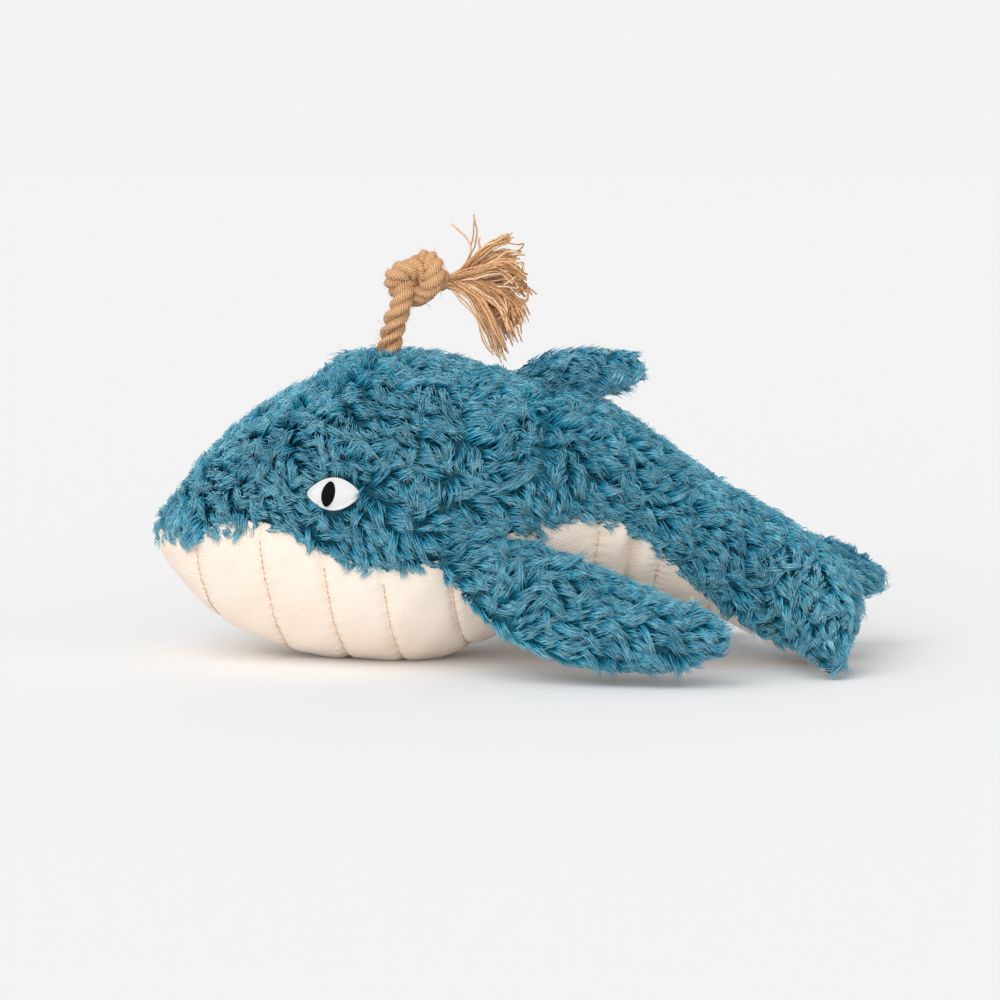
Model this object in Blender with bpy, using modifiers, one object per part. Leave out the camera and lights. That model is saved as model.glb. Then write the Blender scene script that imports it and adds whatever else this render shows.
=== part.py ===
"""A plush whale, sewn from long-pile plush and cotton canvas, with a spout of jute rope.

Metres, +Z up. The whale faces -X, its left side faces -Y and it lies on z = 0.
The XZ plane is its plane of symmetry, apart from the droop of the two tail flukes.
"""

import math

import bmesh
import bpy
import numpy as np
from mathutils import Matrix, Vector

# The body
body_length = 0.298
body_height = 0.1325
body_width = 0.120
nose_x = -0.1535
fur_thickness = 0.006
canvas_thickness = 0.0016
touching_gap = 0.0003
overrun = 0.002

# Each row is a place along the body: its length share from the nose, the lowest and highest point of the
# skin as shares of the height, and the half width as a share of half the width.
body_shares = (
    (0.000, 0.388, 0.402, 0.04),
    (0.012, 0.325, 0.475, 0.27),
    (0.034, 0.262, 0.545, 0.43),
    (0.075, 0.160, 0.665, 0.63),
    (0.140, 0.080, 0.800, 0.81),
    (0.205, 0.032, 0.885, 0.91),
    (0.292, 0.006, 0.958, 0.98),
    (0.379, 0.006, 0.958, 1.00),
    (0.465, 0.070, 0.912, 0.95),
    (0.552, 0.168, 0.862, 0.83),
    (0.639, 0.222, 0.795, 0.70),
    (0.725, 0.226, 0.672, 0.59),
    (0.812, 0.164, 0.535, 0.52),
    (0.899, 0.064, 0.425, 0.47),
    (0.965, 0.045, 0.310, 0.40),
    (0.990, 0.080, 0.240, 0.28),
    (1.000, 0.140, 0.165, 0.04),
)
# Where the plush meets the canvas: the length share, and the height share inside that section, from -1 at
# its lowest point to 1 at its highest.
seam_shares = (
    (0.00, -0.16),
    (0.08, -0.08),
    (0.14, -0.02),
    (0.20, -0.08),
    (0.26, -0.24),
    (0.33, -0.36),
    (0.40, -0.36),
    (0.47, -0.33),
    (0.55, -0.24),
    (0.64, -0.15),
    (0.70, -0.24),
    (0.76, -0.52),
    (0.82, -0.76),
    (0.90, -0.88),
    (1.00, -0.86),
)
fur_columns = 8
canvas_columns = 10
stitch_pitch = 0.026
first_stitch_x = -0.137
stitch_depth = 0.0005
# The closed ends of the body, as length shares: rows close together that round the nose and the tail's end
nose_row_shares = (0.0, 0.012, 0.034)
tail_row_shares = (0.965, 0.99, 1.0)

# The bend of the tail: a round end of the tail turns in a hollow at the back of the trunk.
bend_length_share = 0.668
bend_reach = 0.005
bend_trim = 0.003
bend_sides = 48

# The eyes
eye_x = nose_x + 0.28523 * body_length
eye_length = 0.0225
eye_height = 0.0147
eye_seam_share = 0.16
eye_thickness = 0.0022
eye_sunk = 0.0032
eye_point_share = 0.35
eye_tilt_deg = 4
pupil_length = 0.0055
pupil_height = 0.011
pupil_thickness = 0.0008
pupil_forward = 0.0018
pupil_tilt_deg = -12
eye_sides = 24

# The squeaker
squeaker_x = nose_x + 0.36074 * body_length
squeaker_radius = 0.019
squeaker_height = 0.022
squeaker_floor = 0.0035
reed_radius = 0.006
reed_length = 0.007
squeaker_sides = 16

# The rope
rope_diameter = 0.0104
knot_diameter = 0.0060
stem_length = 0.012
thinning_length = 0.012
rope_exit_x = nose_x + 0.33188 * body_length
rope_exit_z = body_height
rope_hole_slack = 0.0016
rope_root_depth = 0.034
root_knot_radius = 0.0105
root_knot_height = 0.019
rope_sides = 16
rope_points = 64
# The rope's round foot: how far back each row is, and how wide, as shares of the radius
foot_shares = ((-0.94, 0.34), (-0.72, 0.69), (-0.38, 0.92))
# Places along the rope closer than this share of its diameter count as neighbours, not as a crossing
neighbour_share = 1.6
# The rope's route by hand, (x, y, z) from where it leaves the head: up to the knot, through it and out of
# its back.
rope_route = (
    (0.0000, 0.0000, 0.0000),
    (0.0014, 0.0000, 0.0072),
    (0.0030, -0.0010, 0.0132),
    (0.0052, -0.0025, 0.0187),
    (0.0067, -0.0025, 0.0242),
    (0.0083, 0.0003, 0.0297),
    (0.0105, 0.0045, 0.0352),
    (0.0145, 0.0048, 0.0392),
    (0.0190, 0.0000, 0.0390),
    (0.0217, -0.0045, 0.0352),
    (0.0207, -0.0050, 0.0292),
    (0.0160, -0.0008, 0.0244),
    (0.0100, 0.0045, 0.0222),
    (0.0040, 0.0050, 0.0244),
    (0.0015, 0.0005, 0.0292),
    (0.0037, -0.0045, 0.0334),
    (0.0095, -0.0050, 0.0357),
    (0.0157, 0.0000, 0.0330),
    (0.0208, 0.0045, 0.0305),
    (0.0252, 0.0052, 0.0287),
)

# The tassel
tassel_neck_radius = 0.0042
tassel_length = 0.033
tassel_height = 0.048
tassel_depth = 0.026
tassel_rise_deg = -4
tassel_sides = 16
neck_ring_shares = (0.25, 0.62, 0.9)
# Each row: the length share, the height share, the depth share and the rise share of the fan.
tassel_shares = (
    (0.03, 0.19, 0.32, 0.0),
    (0.14, 0.22, 0.37, 0.0),
    (0.32, 0.42, 0.55, 0.0),
    (0.55, 0.72, 0.80, 0.0),
    (0.80, 0.96, 1.00, -0.02),
    (0.95, 0.98, 0.92, -0.04),
    (1.00, 0.80, 0.60, -0.05),
)

# The limbs. A limb is a padded leaf. Its plane is given by an axis along its root and one away from it, and
# its outline by pairs of points, front and back edge, as shares of its length, with the thickness share.
limb_panel = 0.0045
limb_edge = 0.0065
limb_steps = 8
limb_sides = 12
limb_lift_off = 0.0006
limb_root_radius = 0.0025
limb_root_sides = 16
hollow_reach_share = (0.16, 0.86)
least_core_share = 0.25
stuffing_gap = 0.0006

fin_length = 0.104
fin_thickness = 0.024
fin_root_x = nose_x + 0.47819 * body_length
fin_root_above = 0.004
fin_rise_deg = 21
fin_splay_deg = 22
# The tail's turns that the fins leave room for
tail_sweep_deg = (-20, -18.7, -17.5, -16.2, -15, -13.5, -12, -10.5, -9, -6, -3, 3, 6)
fin_shares = (
    ((-0.17, 0.02), (0.165, 0.01), 0.18),
    ((-0.13, 0.14), (0.27, 0.09), 0.66),
    ((-0.05, 0.33), (0.40, 0.22), 0.92),
    ((0.10, 0.52), (0.53, 0.36), 1.00),
    ((0.30, 0.66), (0.65, 0.47), 0.94),
    ((0.50, 0.75), (0.75, 0.58), 0.84),
    ((0.67, 0.78), (0.81, 0.66), 0.68),
    ((0.73, 0.765), (0.79, 0.71), 0.45),
)

dorsal_length = 0.042
dorsal_thickness = 0.017
dorsal_root_x = nose_x + 0.5728 * body_length
dorsal_shares = (
    ((-0.50, 0.03), (0.50, 0.03), 0.16),
    ((-0.40, 0.14), (0.62, 0.11), 0.55),
    ((-0.22, 0.28), (0.75, 0.20), 1.00),
    ((0.04, 0.40), (0.84, 0.30), 0.94),
    ((0.32, 0.49), (0.84, 0.42), 0.76),
    ((0.56, 0.53), (0.74, 0.51), 0.46),
)

fluke_length = 0.044
fluke_thickness = 0.018
fluke_root_x = nose_x + 0.94430 * body_length
fluke_root_share = 0.50
fluke_root_half_run = 0.012
fluke_fall_deg = 32
fluke_droop_deg = {"left": 46, "right": -4}
fluke_shares = (
    ((-0.56, 0.02), (0.50, 0.02), 0.16),
    ((-0.48, 0.20), (0.58, 0.20), 0.72),
    ((-0.28, 0.43), (0.63, 0.43), 1.00),
    ((-0.04, 0.65), (0.65, 0.63), 0.92),
    ((0.23, 0.83), (0.64, 0.79), 0.74),
    ((0.42, 0.92), (0.57, 0.90), 0.46),
)

body_stations = np.array(body_shares)
seam_stations = np.array(seam_shares)


def smooth(places, values, at):
    """The value of a smooth curve through the table's points."""
    slopes = np.gradient(values, places)
    left = np.clip(np.searchsorted(places, at) - 1, 0, len(places) - 2)
    span = places[left + 1] - places[left]
    t = np.clip((at - places[left]) / span, 0, 1)
    return (
        (1 + 2 * t) * (1 - t) ** 2 * values[left]
        + t * (1 - t) ** 2 * span * slopes[left]
        + t * t * (3 - 2 * t) * values[left + 1]
        + t * t * (t - 1) * span * slopes[left + 1]
    )


def section(x):
    """The lowest and highest point of the skin and its half width at a place along the body."""
    share = (x - nose_x) / body_length
    low, high, wide = (smooth(body_stations[:, 0], body_stations[:, k], share) for k in (1, 2, 3))
    return low * body_height, high * body_height, wide * body_width / 2


def seam_angle(x):
    share = (x - nose_x) / body_length
    return math.asin(float(smooth(seam_stations[:, 0], seam_stations[:, 1], share)))


def stitch_dent(x, angle):
    """How far the topstitching draws the belly in: most on a stitch line, and nothing on the plush."""
    below = np.clip((seam_angle(x) - angle) / abs(seam_angle(nose_x)), 0, 1)
    across = 0.5 + 0.5 * math.cos(2 * math.pi * (x - first_stitch_x) / stitch_pitch)
    return stitch_depth * below * across


def skin_point(x, angle):
    """A point of the skin. The angle runs from -90 degrees, the belly, to 90, the back, on the +Y side."""
    low, high, wide = section(x)
    flat_angle = math.asin(math.sin(angle))
    dent = stitch_dent(x, flat_angle)
    middle = (low + high) / 2
    tall = (high - low) / 2 - dent
    return Vector((x, (wide - dent) * math.cos(angle), middle + tall * math.sin(angle)))


def round_normal(x, angle):
    """The direction out of the body's section at an angle, square to the skin there."""
    low, high, wide = section(x)
    return Vector((0, math.cos(angle) / wide, math.sin(angle) * 2 / (high - low))).normalized()


def stations():
    """Places along the body at the stitch lines and halfway between them, closer at nose and tail."""
    inner = np.arange(first_stitch_x, nose_x + body_length - stitch_pitch / 2, stitch_pitch / 2)
    front = [nose_x + body_length * share for share in nose_row_shares]
    back = [nose_x + body_length * share for share in tail_row_shares]
    return front + [float(x) for x in inner if x > front[-1]] + back


def collection(name, shown):
    made = bpy.data.collections.new(name)
    made.hide_render = not shown
    bpy.context.scene.collection.children.link(made)
    return made


def material(name, colour, roughness):
    made = bpy.data.materials.new(name)
    made.use_nodes = True
    shader = made.node_tree.nodes["Principled BSDF"]
    shader.inputs["Base Color"].default_value = (*colour, 1)
    shader.inputs["Roughness"].default_value = roughness
    made.diffuse_color = (*colour, 1)
    return made


def part(name, mesh, finish):
    """A piece of the toy, with its mesh as it is."""
    made = bpy.data.objects.new(name, mesh)
    mesh.materials.append(finish)
    mesh.shade_smooth()
    mesh.set_sharp_from_angle(angle=math.radians(40))
    parts.objects.link(made)
    return made


def hang(name, pieces, place, axis):
    """Put the pieces' origins on their joint's axis, and say where that is."""
    for piece in pieces:
        piece.data.transform(Matrix.Translation(-Vector(place)))
        piece.location = place
    print(name, "joint at", [round(v, 5) for v in place], "axis", [round(v, 4) for v in axis])


def cutter(name, mesh):
    made = bpy.data.objects.new(name, mesh)
    made.hide_render = True
    made.display_type = "WIRE"
    cutters.objects.link(made)
    return made


def cut(piece, *tools):
    for tool in tools:
        step = piece.modifiers.new("cut by " + tool.name, "BOOLEAN")
        step.object = tool
        step.operation = "DIFFERENCE"
        step.solver = "EXACT"


def join(piece, other):
    step = piece.modifiers.new("joined to " + other.name, "BOOLEAN")
    step.object = other
    step.operation = "UNION"
    step.solver = "EXACT"


def mesh_from(build, name):
    """A mesh from a bmesh, its doubles merged and its faces turned out."""
    bmesh.ops.remove_doubles(build, verts=build.verts, dist=touching_gap / 10)
    bmesh.ops.recalc_face_normals(build, faces=build.faces)
    mesh = bpy.data.meshes.new(name)
    build.to_mesh(mesh)
    build.free()
    return mesh


def grid(name, rows, closed):
    """A surface through rows of points. A closed one joins each row's ends and fills the first and last row."""
    build = bmesh.new()
    verts = [[build.verts.new(point) for point in row] for row in rows]
    count = len(rows[0])
    for first, second in zip(verts, verts[1:]):
        for k in range(count if closed else count - 1):
            after = (k + 1) % count
            build.faces.new((first[k], first[after], second[after], second[k]))
    if closed:
        for ring in (verts[0], verts[-1]):
            centre = build.verts.new(sum((vert.co for vert in ring), Vector()) / count)
            for k in range(count):
                build.faces.new((ring[k], ring[(k + 1) % count], centre))
    return mesh_from(build, name)


def box(name, low, high):
    build = bmesh.new()
    size = Vector(high) - Vector(low)
    centre = (Vector(high) + Vector(low)) / 2
    bmesh.ops.create_cube(build, size=1, matrix=Matrix.LocRotScale(centre, None, size))
    return mesh_from(build, name)


def cylinder(name, radius, start, end, sides, end_radius=None):
    """A cylinder or a cone between two points."""
    build = bmesh.new()
    start, end = Vector(start), Vector(end)
    turn = Vector((0, 0, 1)).rotation_difference(end - start)
    bmesh.ops.create_cone(
        build,
        cap_ends=True,
        segments=sides,
        radius1=radius,
        radius2=radius if end_radius is None else end_radius,
        depth=(end - start).length,
        matrix=Matrix.LocRotScale((start + end) / 2, turn, None),
    )
    return mesh_from(build, name)


def panel_grid(name, side_from, side_to, columns):
    """A sheet on the skin between two angles, each a function of the place along the body."""
    rows = []
    for x in stations():
        start, end = side_from(x), side_to(x)
        rows.append([skin_point(x, start + (end - start) * k / columns) for k in range(columns + 1)])
    return grid(name, rows, closed=False)


def outward_shell(piece, thickness):
    step = piece.modifiers.new("thickness", "SOLIDIFY")
    step.thickness = thickness
    step.offset = 1
    step.use_even_offset = False


def half_gap_angle(x):
    """The angle that half the gap between two touching panels takes up."""
    low, high, wide = section(x)
    return touching_gap / (high - low + 2 * wide) * 2


def fur_mesh(name, side):
    """A back panel, from the back's middle seam down to the canvas. Side is -1 on the left, 1 on the right."""

    def top(x):
        return math.pi / 2 + side * half_gap_angle(x) * (-1)

    def bottom(x):
        angle = seam_angle(x) + half_gap_angle(x)
        return angle if side > 0 else math.pi - angle

    if side > 0:
        return panel_grid(name, bottom, top, fur_columns)
    return panel_grid(name, top, bottom, fur_columns)


def canvas_mesh(name):
    def left(x):
        return -math.pi - seam_angle(x) + half_gap_angle(x)

    def right(x):
        return seam_angle(x) - half_gap_angle(x)

    return panel_grid(name, left, right, canvas_columns)


def ring_angles(x):
    """The angles of a closed ring of the body, on the same lines as the panels over it."""
    seam = seam_angle(x)
    right = np.linspace(seam, math.pi / 2, fur_columns + 1)[:-1]
    left = np.linspace(math.pi / 2, math.pi - seam, fur_columns + 1)[:-1]
    belly = np.linspace(math.pi - seam, 2 * math.pi + seam, canvas_columns + 1)[:-1]
    return np.concatenate([right, left, belly])


def body_loft(name, offset):
    """The closed body at a distance outside the skin, or inside it where the offset is negative."""
    rows = [[skin_point(x, angle) for angle in ring_angles(x)] for x in stations()]
    mesh = grid(name, rows, closed=True)
    normals = [vertex.normal.copy() for vertex in mesh.vertices]
    for vertex, normal in zip(mesh.vertices, normals):
        vertex.co += normal * offset
    return mesh


def plane_frame(origin, along, away):
    """The matrix of a limb's plane: X along the root, Y away from it, Z square to both."""
    along = along.normalized()
    up = along.cross(away).normalized()
    away = up.cross(along)
    return Matrix((along, away, up)).transposed().to_4x4(), origin


def leaf(name, frame, length, thickness, shares, edge_inset=0.0, face_inset=0.0, reach=(0.0, 1.0), clear=0.0):
    """A padded leaf in a limb's plane. The insets make the smaller leaf of its hollow, and a clearance all
    round makes the stuffing that fills the hollow."""
    matrix, origin = frame
    table = np.array([(*front, *back, thick) for front, back, thick in shares])
    places = np.linspace(0, 1, len(table))
    stops = np.linspace(*reach, limb_steps)
    stops[0] += clear * 2 / length
    stops[-1] -= clear * 2 / length
    rows = []
    for at in stops:
        front_a, front_b, back_a, back_b, thick = (smooth(places, table[:, k], at) for k in range(5))
        front = Vector((front_a, front_b)) * length
        back = Vector((back_a, back_b)) * length
        middle = (front + back) / 2
        half = (back - front) / 2
        half = half * (max(1 - edge_inset / half.length, least_core_share) - clear / half.length)
        tall = max(thick * thickness / 2 - face_inset, touching_gap * 4) - clear
        row = []
        for k in range(limb_sides):
            angle = 2 * math.pi * (k + 0.5) / limb_sides
            flat = middle + half * math.cos(angle) / math.cos(math.pi / limb_sides)
            row.append(origin + matrix @ Vector((flat.x, flat.y, tall * math.sin(angle))))
        rows.append(row)
    return grid(name, rows, closed=True)


def half_space(name, frame, side, depth, past):
    """A block on one side of a limb's plane, that reaches a little past it."""
    matrix, origin = frame
    build = bmesh.new()
    size = Vector((depth * 2, depth * 2, depth))
    centre = Vector((0, 0, side * (depth / 2 - past)))
    bmesh.ops.create_cube(
        build,
        size=1,
        matrix=Matrix.Translation(origin) @ matrix @ Matrix.LocRotScale(centre, None, size),
    )
    return mesh_from(build, name)


def limb(name, sides, frame, length, thickness, shares, carriers, sweeps):
    """A limb's two panels and its stuffing. Sides are (name, side of the plane, material). The limb turns on
    a round root, which lies in a groove of the panels that carry it, and keeps clear of what sweeps past."""
    matrix, origin = frame
    root_ends = [origin + matrix @ Vector((shares[0][k][0] * length, 0, 0)) for k in (0, 1)]
    way = (root_ends[1] - root_ends[0]).normalized() * touching_gap
    groove = cutter(
        name + "_groove",
        cylinder(
            name + "_groove",
            limb_root_radius + touching_gap,
            root_ends[0] - way,
            root_ends[1] + way,
            limb_root_sides,
        ),
    )
    for carrier in carriers:
        cut(carrier, groove)
    inside = (frame, length, thickness, shares, limb_edge, limb_panel, hollow_reach_share)
    hollow = cutter(name + "_hollow", leaf(name + "_hollow", *inside))
    made = []
    for panel_name, side, finish in sides:
        depth = length + thickness
        other = cutter(
            panel_name + "_other_half", half_space(panel_name, frame, -side, depth, touching_gap / 2)
        )
        root = cutter(
            panel_name + "_root",
            cylinder(panel_name + "_root", limb_root_radius, *root_ends, limb_root_sides),
        )
        cut(root, cutter(root.name + "_cut", half_space(root.name, frame, -side, depth, touching_gap)))
        panel = part(panel_name, leaf(panel_name, frame, length, thickness, shares), finish)
        cut(panel, other, hollow, *sweeps)
        join(panel, root)
        if sweeps:
            cut(panel, ground)
        made.append(panel)
    stuffing = part(name + "_stuffing", leaf(name + "_stuffing", *inside, clear=stuffing_gap), stuffing_white)
    if sweeps:
        cut(stuffing, *sweeps, ground)
    made.append(stuffing)
    return made


def root_line(x, above, half_run, rise_deg, side):
    """The line a limb is sewn along: its middle and its direction, from two points on the plush's surface.
    Above is the middle's height over the seam, and rise is how steeply the line climbs to the back."""
    low, high, wide = section(x)
    middle_z = skin_point(x, seam_angle(x)).z + above
    rise = math.radians(rise_deg)
    ends = []
    for run in (-half_run, half_run):
        at = x + run * math.cos(rise)
        low, high, wide = section(at)
        angle = math.asin((middle_z + run * math.sin(rise) - (low + high) / 2) / ((high - low) / 2))
        ends.append(skin_point(at, angle) + round_normal(at, angle) * (fur_thickness + limb_lift_off))
    middle = (ends[0] + ends[1]) / 2
    along = (ends[1] - ends[0]).normalized()
    if side < 0:
        middle, along = (Vector((v.x, -v.y, v.z)) for v in (middle, along))
    return middle, along


# Start from an empty scene
for old in list(bpy.data.objects):
    bpy.data.objects.remove(old)

parts = collection("plush_whale", True)
cutters = collection("cutters", False)

fur_blue = material("fur_blue", (0.051, 0.184, 0.258), 0.95)
canvas_cream = material("canvas_cream", (0.78, 0.70, 0.58), 0.9)
eye_white = material("eye_white", (0.80, 0.80, 0.80), 0.5)
pupil_black = material("pupil_black", (0.01, 0.01, 0.01), 0.4)
jute = material("jute_rope", (0.52, 0.30, 0.15), 0.85)
stuffing_white = material("stuffing_white", (0.85, 0.85, 0.83), 0.95)
squeaker_plastic = material("squeaker_plastic", (0.75, 0.75, 0.70), 0.4)

# The tail's bend: a cylinder across the body, and blocks in front of it and behind it
bend_x = nose_x + bend_length_share * body_length
bend_low, bend_high, bend_wide = section(bend_x)
bend_z = (bend_low - canvas_thickness + bend_high + fur_thickness) / 2
bend_radius = (bend_high + fur_thickness - bend_low + canvas_thickness) / 2
reach_y = body_width
past_tail = nose_x + body_length + body_height

socket = cutter(
    "tail_socket",
    cylinder(
        "tail_socket",
        bend_radius + touching_gap,
        (bend_x, -reach_y, bend_z),
        (bend_x, reach_y, bend_z),
        bend_sides,
    ),
)
behind_trunk = cutter(
    "behind_trunk",
    box(
        "behind_trunk",
        (bend_x - bend_reach, -reach_y, -body_height),
        (past_tail, reach_y, body_height * 2),
    ),
)
front_block = cutter(
    "in_front_of_tail",
    box(
        "in_front_of_tail",
        (nose_x - body_height, -reach_y, -body_height),
        (bend_x + bend_trim, reach_y, body_height * 2),
    ),
)
knuckle = cutter(
    "tail_knuckle",
    cylinder(
        "tail_knuckle",
        bend_radius,
        (bend_x, -reach_y - overrun, bend_z),
        (bend_x, reach_y + overrun, bend_z),
        bend_sides,
    ),
)
cut(front_block, knuckle)

floor_low = -body_height
ground = cutter(
    "ground",
    box("ground", (nose_x - body_height, -reach_y, floor_low), (past_tail, reach_y, 0)),
)

trunk_cuts = (socket, behind_trunk)
tail_cuts = (front_block,)

# The back panels and the belly panels
fur_panels = {}
for side_name, side in (("left", -1), ("right", 1)):
    for body, cuts in (("trunk", trunk_cuts), ("tail", tail_cuts)):
        name = f"{body}_back_panel_{side_name}"
        panel = part(name, fur_mesh(name, side), fur_blue)
        outward_shell(panel, fur_thickness)
        cut(panel, *cuts)
        fur_panels[name] = panel
belly_panels = {}
for body, cuts in (("trunk", trunk_cuts), ("tail", tail_cuts)):
    name = f"{body}_belly_panel"
    panel = part(name, canvas_mesh(name), canvas_cream)
    outward_shell(panel, canvas_thickness)
    cut(panel, *cuts)
    belly_panels[body] = panel
cut(belly_panels["trunk"], ground)
cut(belly_panels["tail"], ground)

# The stuffing
stuffings = {}
for body, cuts in (("trunk", trunk_cuts), ("tail", tail_cuts)):
    name = f"{body}_stuffing"
    stuffings[body] = part(name, body_loft(name, -touching_gap), stuffing_white)
    cut(stuffings[body], *cuts)

# The eyes, one on each side, sunk in the pile


def lens_mesh(name, length, height, thickness, grow, frame, pointed):
    """A plate with an almond or oval outline, in the eye's frame."""
    build = bmesh.new()
    ring = []
    for k in range(eye_sides):
        angle = 2 * math.pi * k / eye_sides
        along = math.cos(angle)
        across = math.sin(angle) * (1 - pointed * along * along)
        ring.append(
            frame
            @ Vector((along * (length / 2 + grow), across * (height / 2 + grow), -thickness / 2))
        )
    face = build.faces.new([build.verts.new(point) for point in ring])
    lifted = bmesh.ops.extrude_face_region(build, geom=[face])
    shift = frame.to_3x3() @ Vector((0, 0, thickness))
    top = [item for item in lifted["geom"] if isinstance(item, bmesh.types.BMVert)]
    bmesh.ops.translate(build, verts=top, vec=shift)
    return mesh_from(build, name)


def eye_frame(side, tilt_deg, forward, raise_by):
    """The frame at the eye: X back along the body, Z out of it, raised along Z."""
    low, high, wide = section(eye_x)
    angle = math.asin(eye_seam_share)
    step = math.radians(1)
    here = skin_point(eye_x, angle)
    along = (skin_point(eye_x + step * wide, angle) - here).normalized()
    up = (skin_point(eye_x, angle + step) - here).normalized()
    out = along.cross(up).normalized() * -1
    up = out.cross(along) * -1
    centre = here + out * raise_by - along * forward
    turn = Matrix.Rotation(math.radians(tilt_deg), 4, "Z")
    basis = Matrix((along, up, out)).transposed().to_4x4()
    frame = Matrix.Translation(centre) @ basis @ turn
    if side < 0:
        frame = Matrix.Scale(-1, 4, Vector((0, 1, 0))) @ frame
    return frame


eye_raise = fur_thickness - eye_sunk
for side_name, side in (("left", -1), ("right", 1)):
    patch_frame = eye_frame(side, eye_tilt_deg, 0, eye_raise)
    patch = part(
        f"eye_patch_{side_name}",
        lens_mesh("eye_patch", eye_length, eye_height, eye_thickness, 0, patch_frame, eye_point_share),
        eye_white,
    )
    pupil_frame = eye_frame(
        side,
        pupil_tilt_deg,
        pupil_forward,
        eye_raise + eye_thickness / 2 + touching_gap + pupil_thickness / 2,
    )
    pupil = part(
        f"pupil_{side_name}",
        lens_mesh("pupil", pupil_length, pupil_height, pupil_thickness, 0, pupil_frame, 0),
        pupil_black,
    )
    pocket_depth = fur_thickness
    pocket_raise = eye_raise - eye_thickness / 2 - touching_gap + pocket_depth / 2
    pocket = cutter(
        f"eye_pocket_{side_name}",
        lens_mesh(
            "eye_pocket",
            eye_length,
            eye_height,
            pocket_depth,
            touching_gap,
            eye_frame(side, eye_tilt_deg, 0, pocket_raise),
            eye_point_share,
        ),
    )
    cut(fur_panels[f"trunk_back_panel_{side_name}"], pocket)

# The squeaker, in a pocket of the stuffing that the belly panel closes


def turned(name, profile, x, steps):
    """A solid turned about a vertical axis at x. The profile runs from top to bottom, (radius, height)."""
    mesh = bpy.data.meshes.new(name)
    points = [(radius, 0, height) for radius, height in profile]
    mesh.from_pydata(points, [(k, k + 1) for k in range(len(points) - 1)], [])
    holder = bpy.data.objects.new(name, mesh)
    bpy.context.scene.collection.objects.link(holder)
    step = holder.modifiers.new("turn", "SCREW")
    step.steps = steps
    step.render_steps = steps
    step.use_merge_vertices = True
    step.merge_threshold = touching_gap / 10
    graph = bpy.context.evaluated_depsgraph_get()
    solid = bpy.data.meshes.new_from_object(holder.evaluated_get(graph))
    bpy.data.objects.remove(holder)
    build = bmesh.new()
    build.from_mesh(solid)
    bmesh.ops.translate(build, verts=build.verts, vec=Vector((x, 0, 0)))
    return mesh_from(build, name)


def bulb_profile(grow):
    """Half the squeaker's outline, as an arc squashed to its height."""
    count = squeaker_sides // 2
    middle = squeaker_floor + squeaker_height / 2
    return [
        (
            math.sin(math.pi * k / count) * (squeaker_radius + grow),
            middle + math.cos(math.pi * k / count) * (squeaker_height / 2 + grow),
        )
        for k in range(count + 1)
    ]


bulb = part("squeaker_bulb", turned("squeaker_bulb", bulb_profile(0), squeaker_x, squeaker_sides), squeaker_plastic)
reed_x = squeaker_x + squeaker_radius
reed_z = squeaker_floor + squeaker_height / 2
reed = part(
    "squeaker_reed",
    cylinder(
        "squeaker_reed",
        reed_radius,
        (reed_x - reed_length / 2, 0, reed_z),
        (reed_x + reed_length / 2, 0, reed_z),
        squeaker_sides,
    ),
    squeaker_plastic,
)
reed_seat = cutter(
    "reed_seat",
    cylinder(
        "reed_seat",
        reed_radius + touching_gap,
        (reed_x - reed_length / 2 - touching_gap, 0, reed_z),
        (reed_x + reed_length / 2 + touching_gap, 0, reed_z),
        squeaker_sides,
    ),
)
cut(bulb, reed_seat)
bulb_pocket = cutter(
    "bulb_pocket",
    turned("bulb_pocket", bulb_profile(touching_gap), squeaker_x, squeaker_sides),
)
pocket_mouth = cutter(
    "pocket_mouth",
    cylinder(
        "pocket_mouth",
        squeaker_radius + touching_gap,
        (squeaker_x, 0, -overrun),
        (squeaker_x, 0, reed_z),
        squeaker_sides + 1,
    ),
)
cut(stuffings["trunk"], bulb_pocket, pocket_mouth, reed_seat)

# The rope's root, sewn into the head, with the knot that holds it
rope_radius = rope_diameter / 2
root_top = rope_exit_z - rope_radius - touching_gap
root_low = root_top - rope_root_depth


def root_profile(grow, top):
    """The outline of the rope's root: a straight rope with a round knot at its end."""
    middle = root_low + root_knot_height / 2
    rise_share = (1.0, 0.92, 0.71, 0.38, 0.0, -0.38, -0.71, -0.92, -1.0)
    shaft_foot = middle + (root_knot_height / 2 + grow) * math.sqrt(1 - (rope_radius / root_knot_radius) ** 2)
    points = [(0, top), (rope_radius + grow, top), (rope_radius + grow, shaft_foot)]
    for share in rise_share:
        radius = (root_knot_radius + grow) * math.sqrt(1 - share * share)
        height = middle + (root_knot_height / 2 + grow) * share
        if height < shaft_foot - touching_gap:
            points.append((radius, height))
    return points


part("rope_root", turned("rope_root", root_profile(0, root_top), rope_exit_x, rope_sides), jute)
root_pocket = cutter(
    "root_pocket",
    turned(
        "root_pocket",
        root_profile(touching_gap, rope_exit_z + fur_thickness * 2),
        rope_exit_x,
        rope_sides,
    ),
)
rope_hole = cutter(
    "rope_hole",
    cylinder(
        "rope_hole",
        rope_radius + rope_hole_slack,
        (rope_exit_x, 0, root_top - rope_radius),
        (rope_exit_x, 0, rope_exit_z + fur_thickness * 3),
        rope_sides,
    ),
)
cut(stuffings["trunk"], root_pocket, rope_hole)
cut(fur_panels["trunk_back_panel_left"], rope_hole)
cut(fur_panels["trunk_back_panel_right"], rope_hole)

# The spout: one tube through the route's points, thinner in the knot, with a round foot that turns


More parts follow.
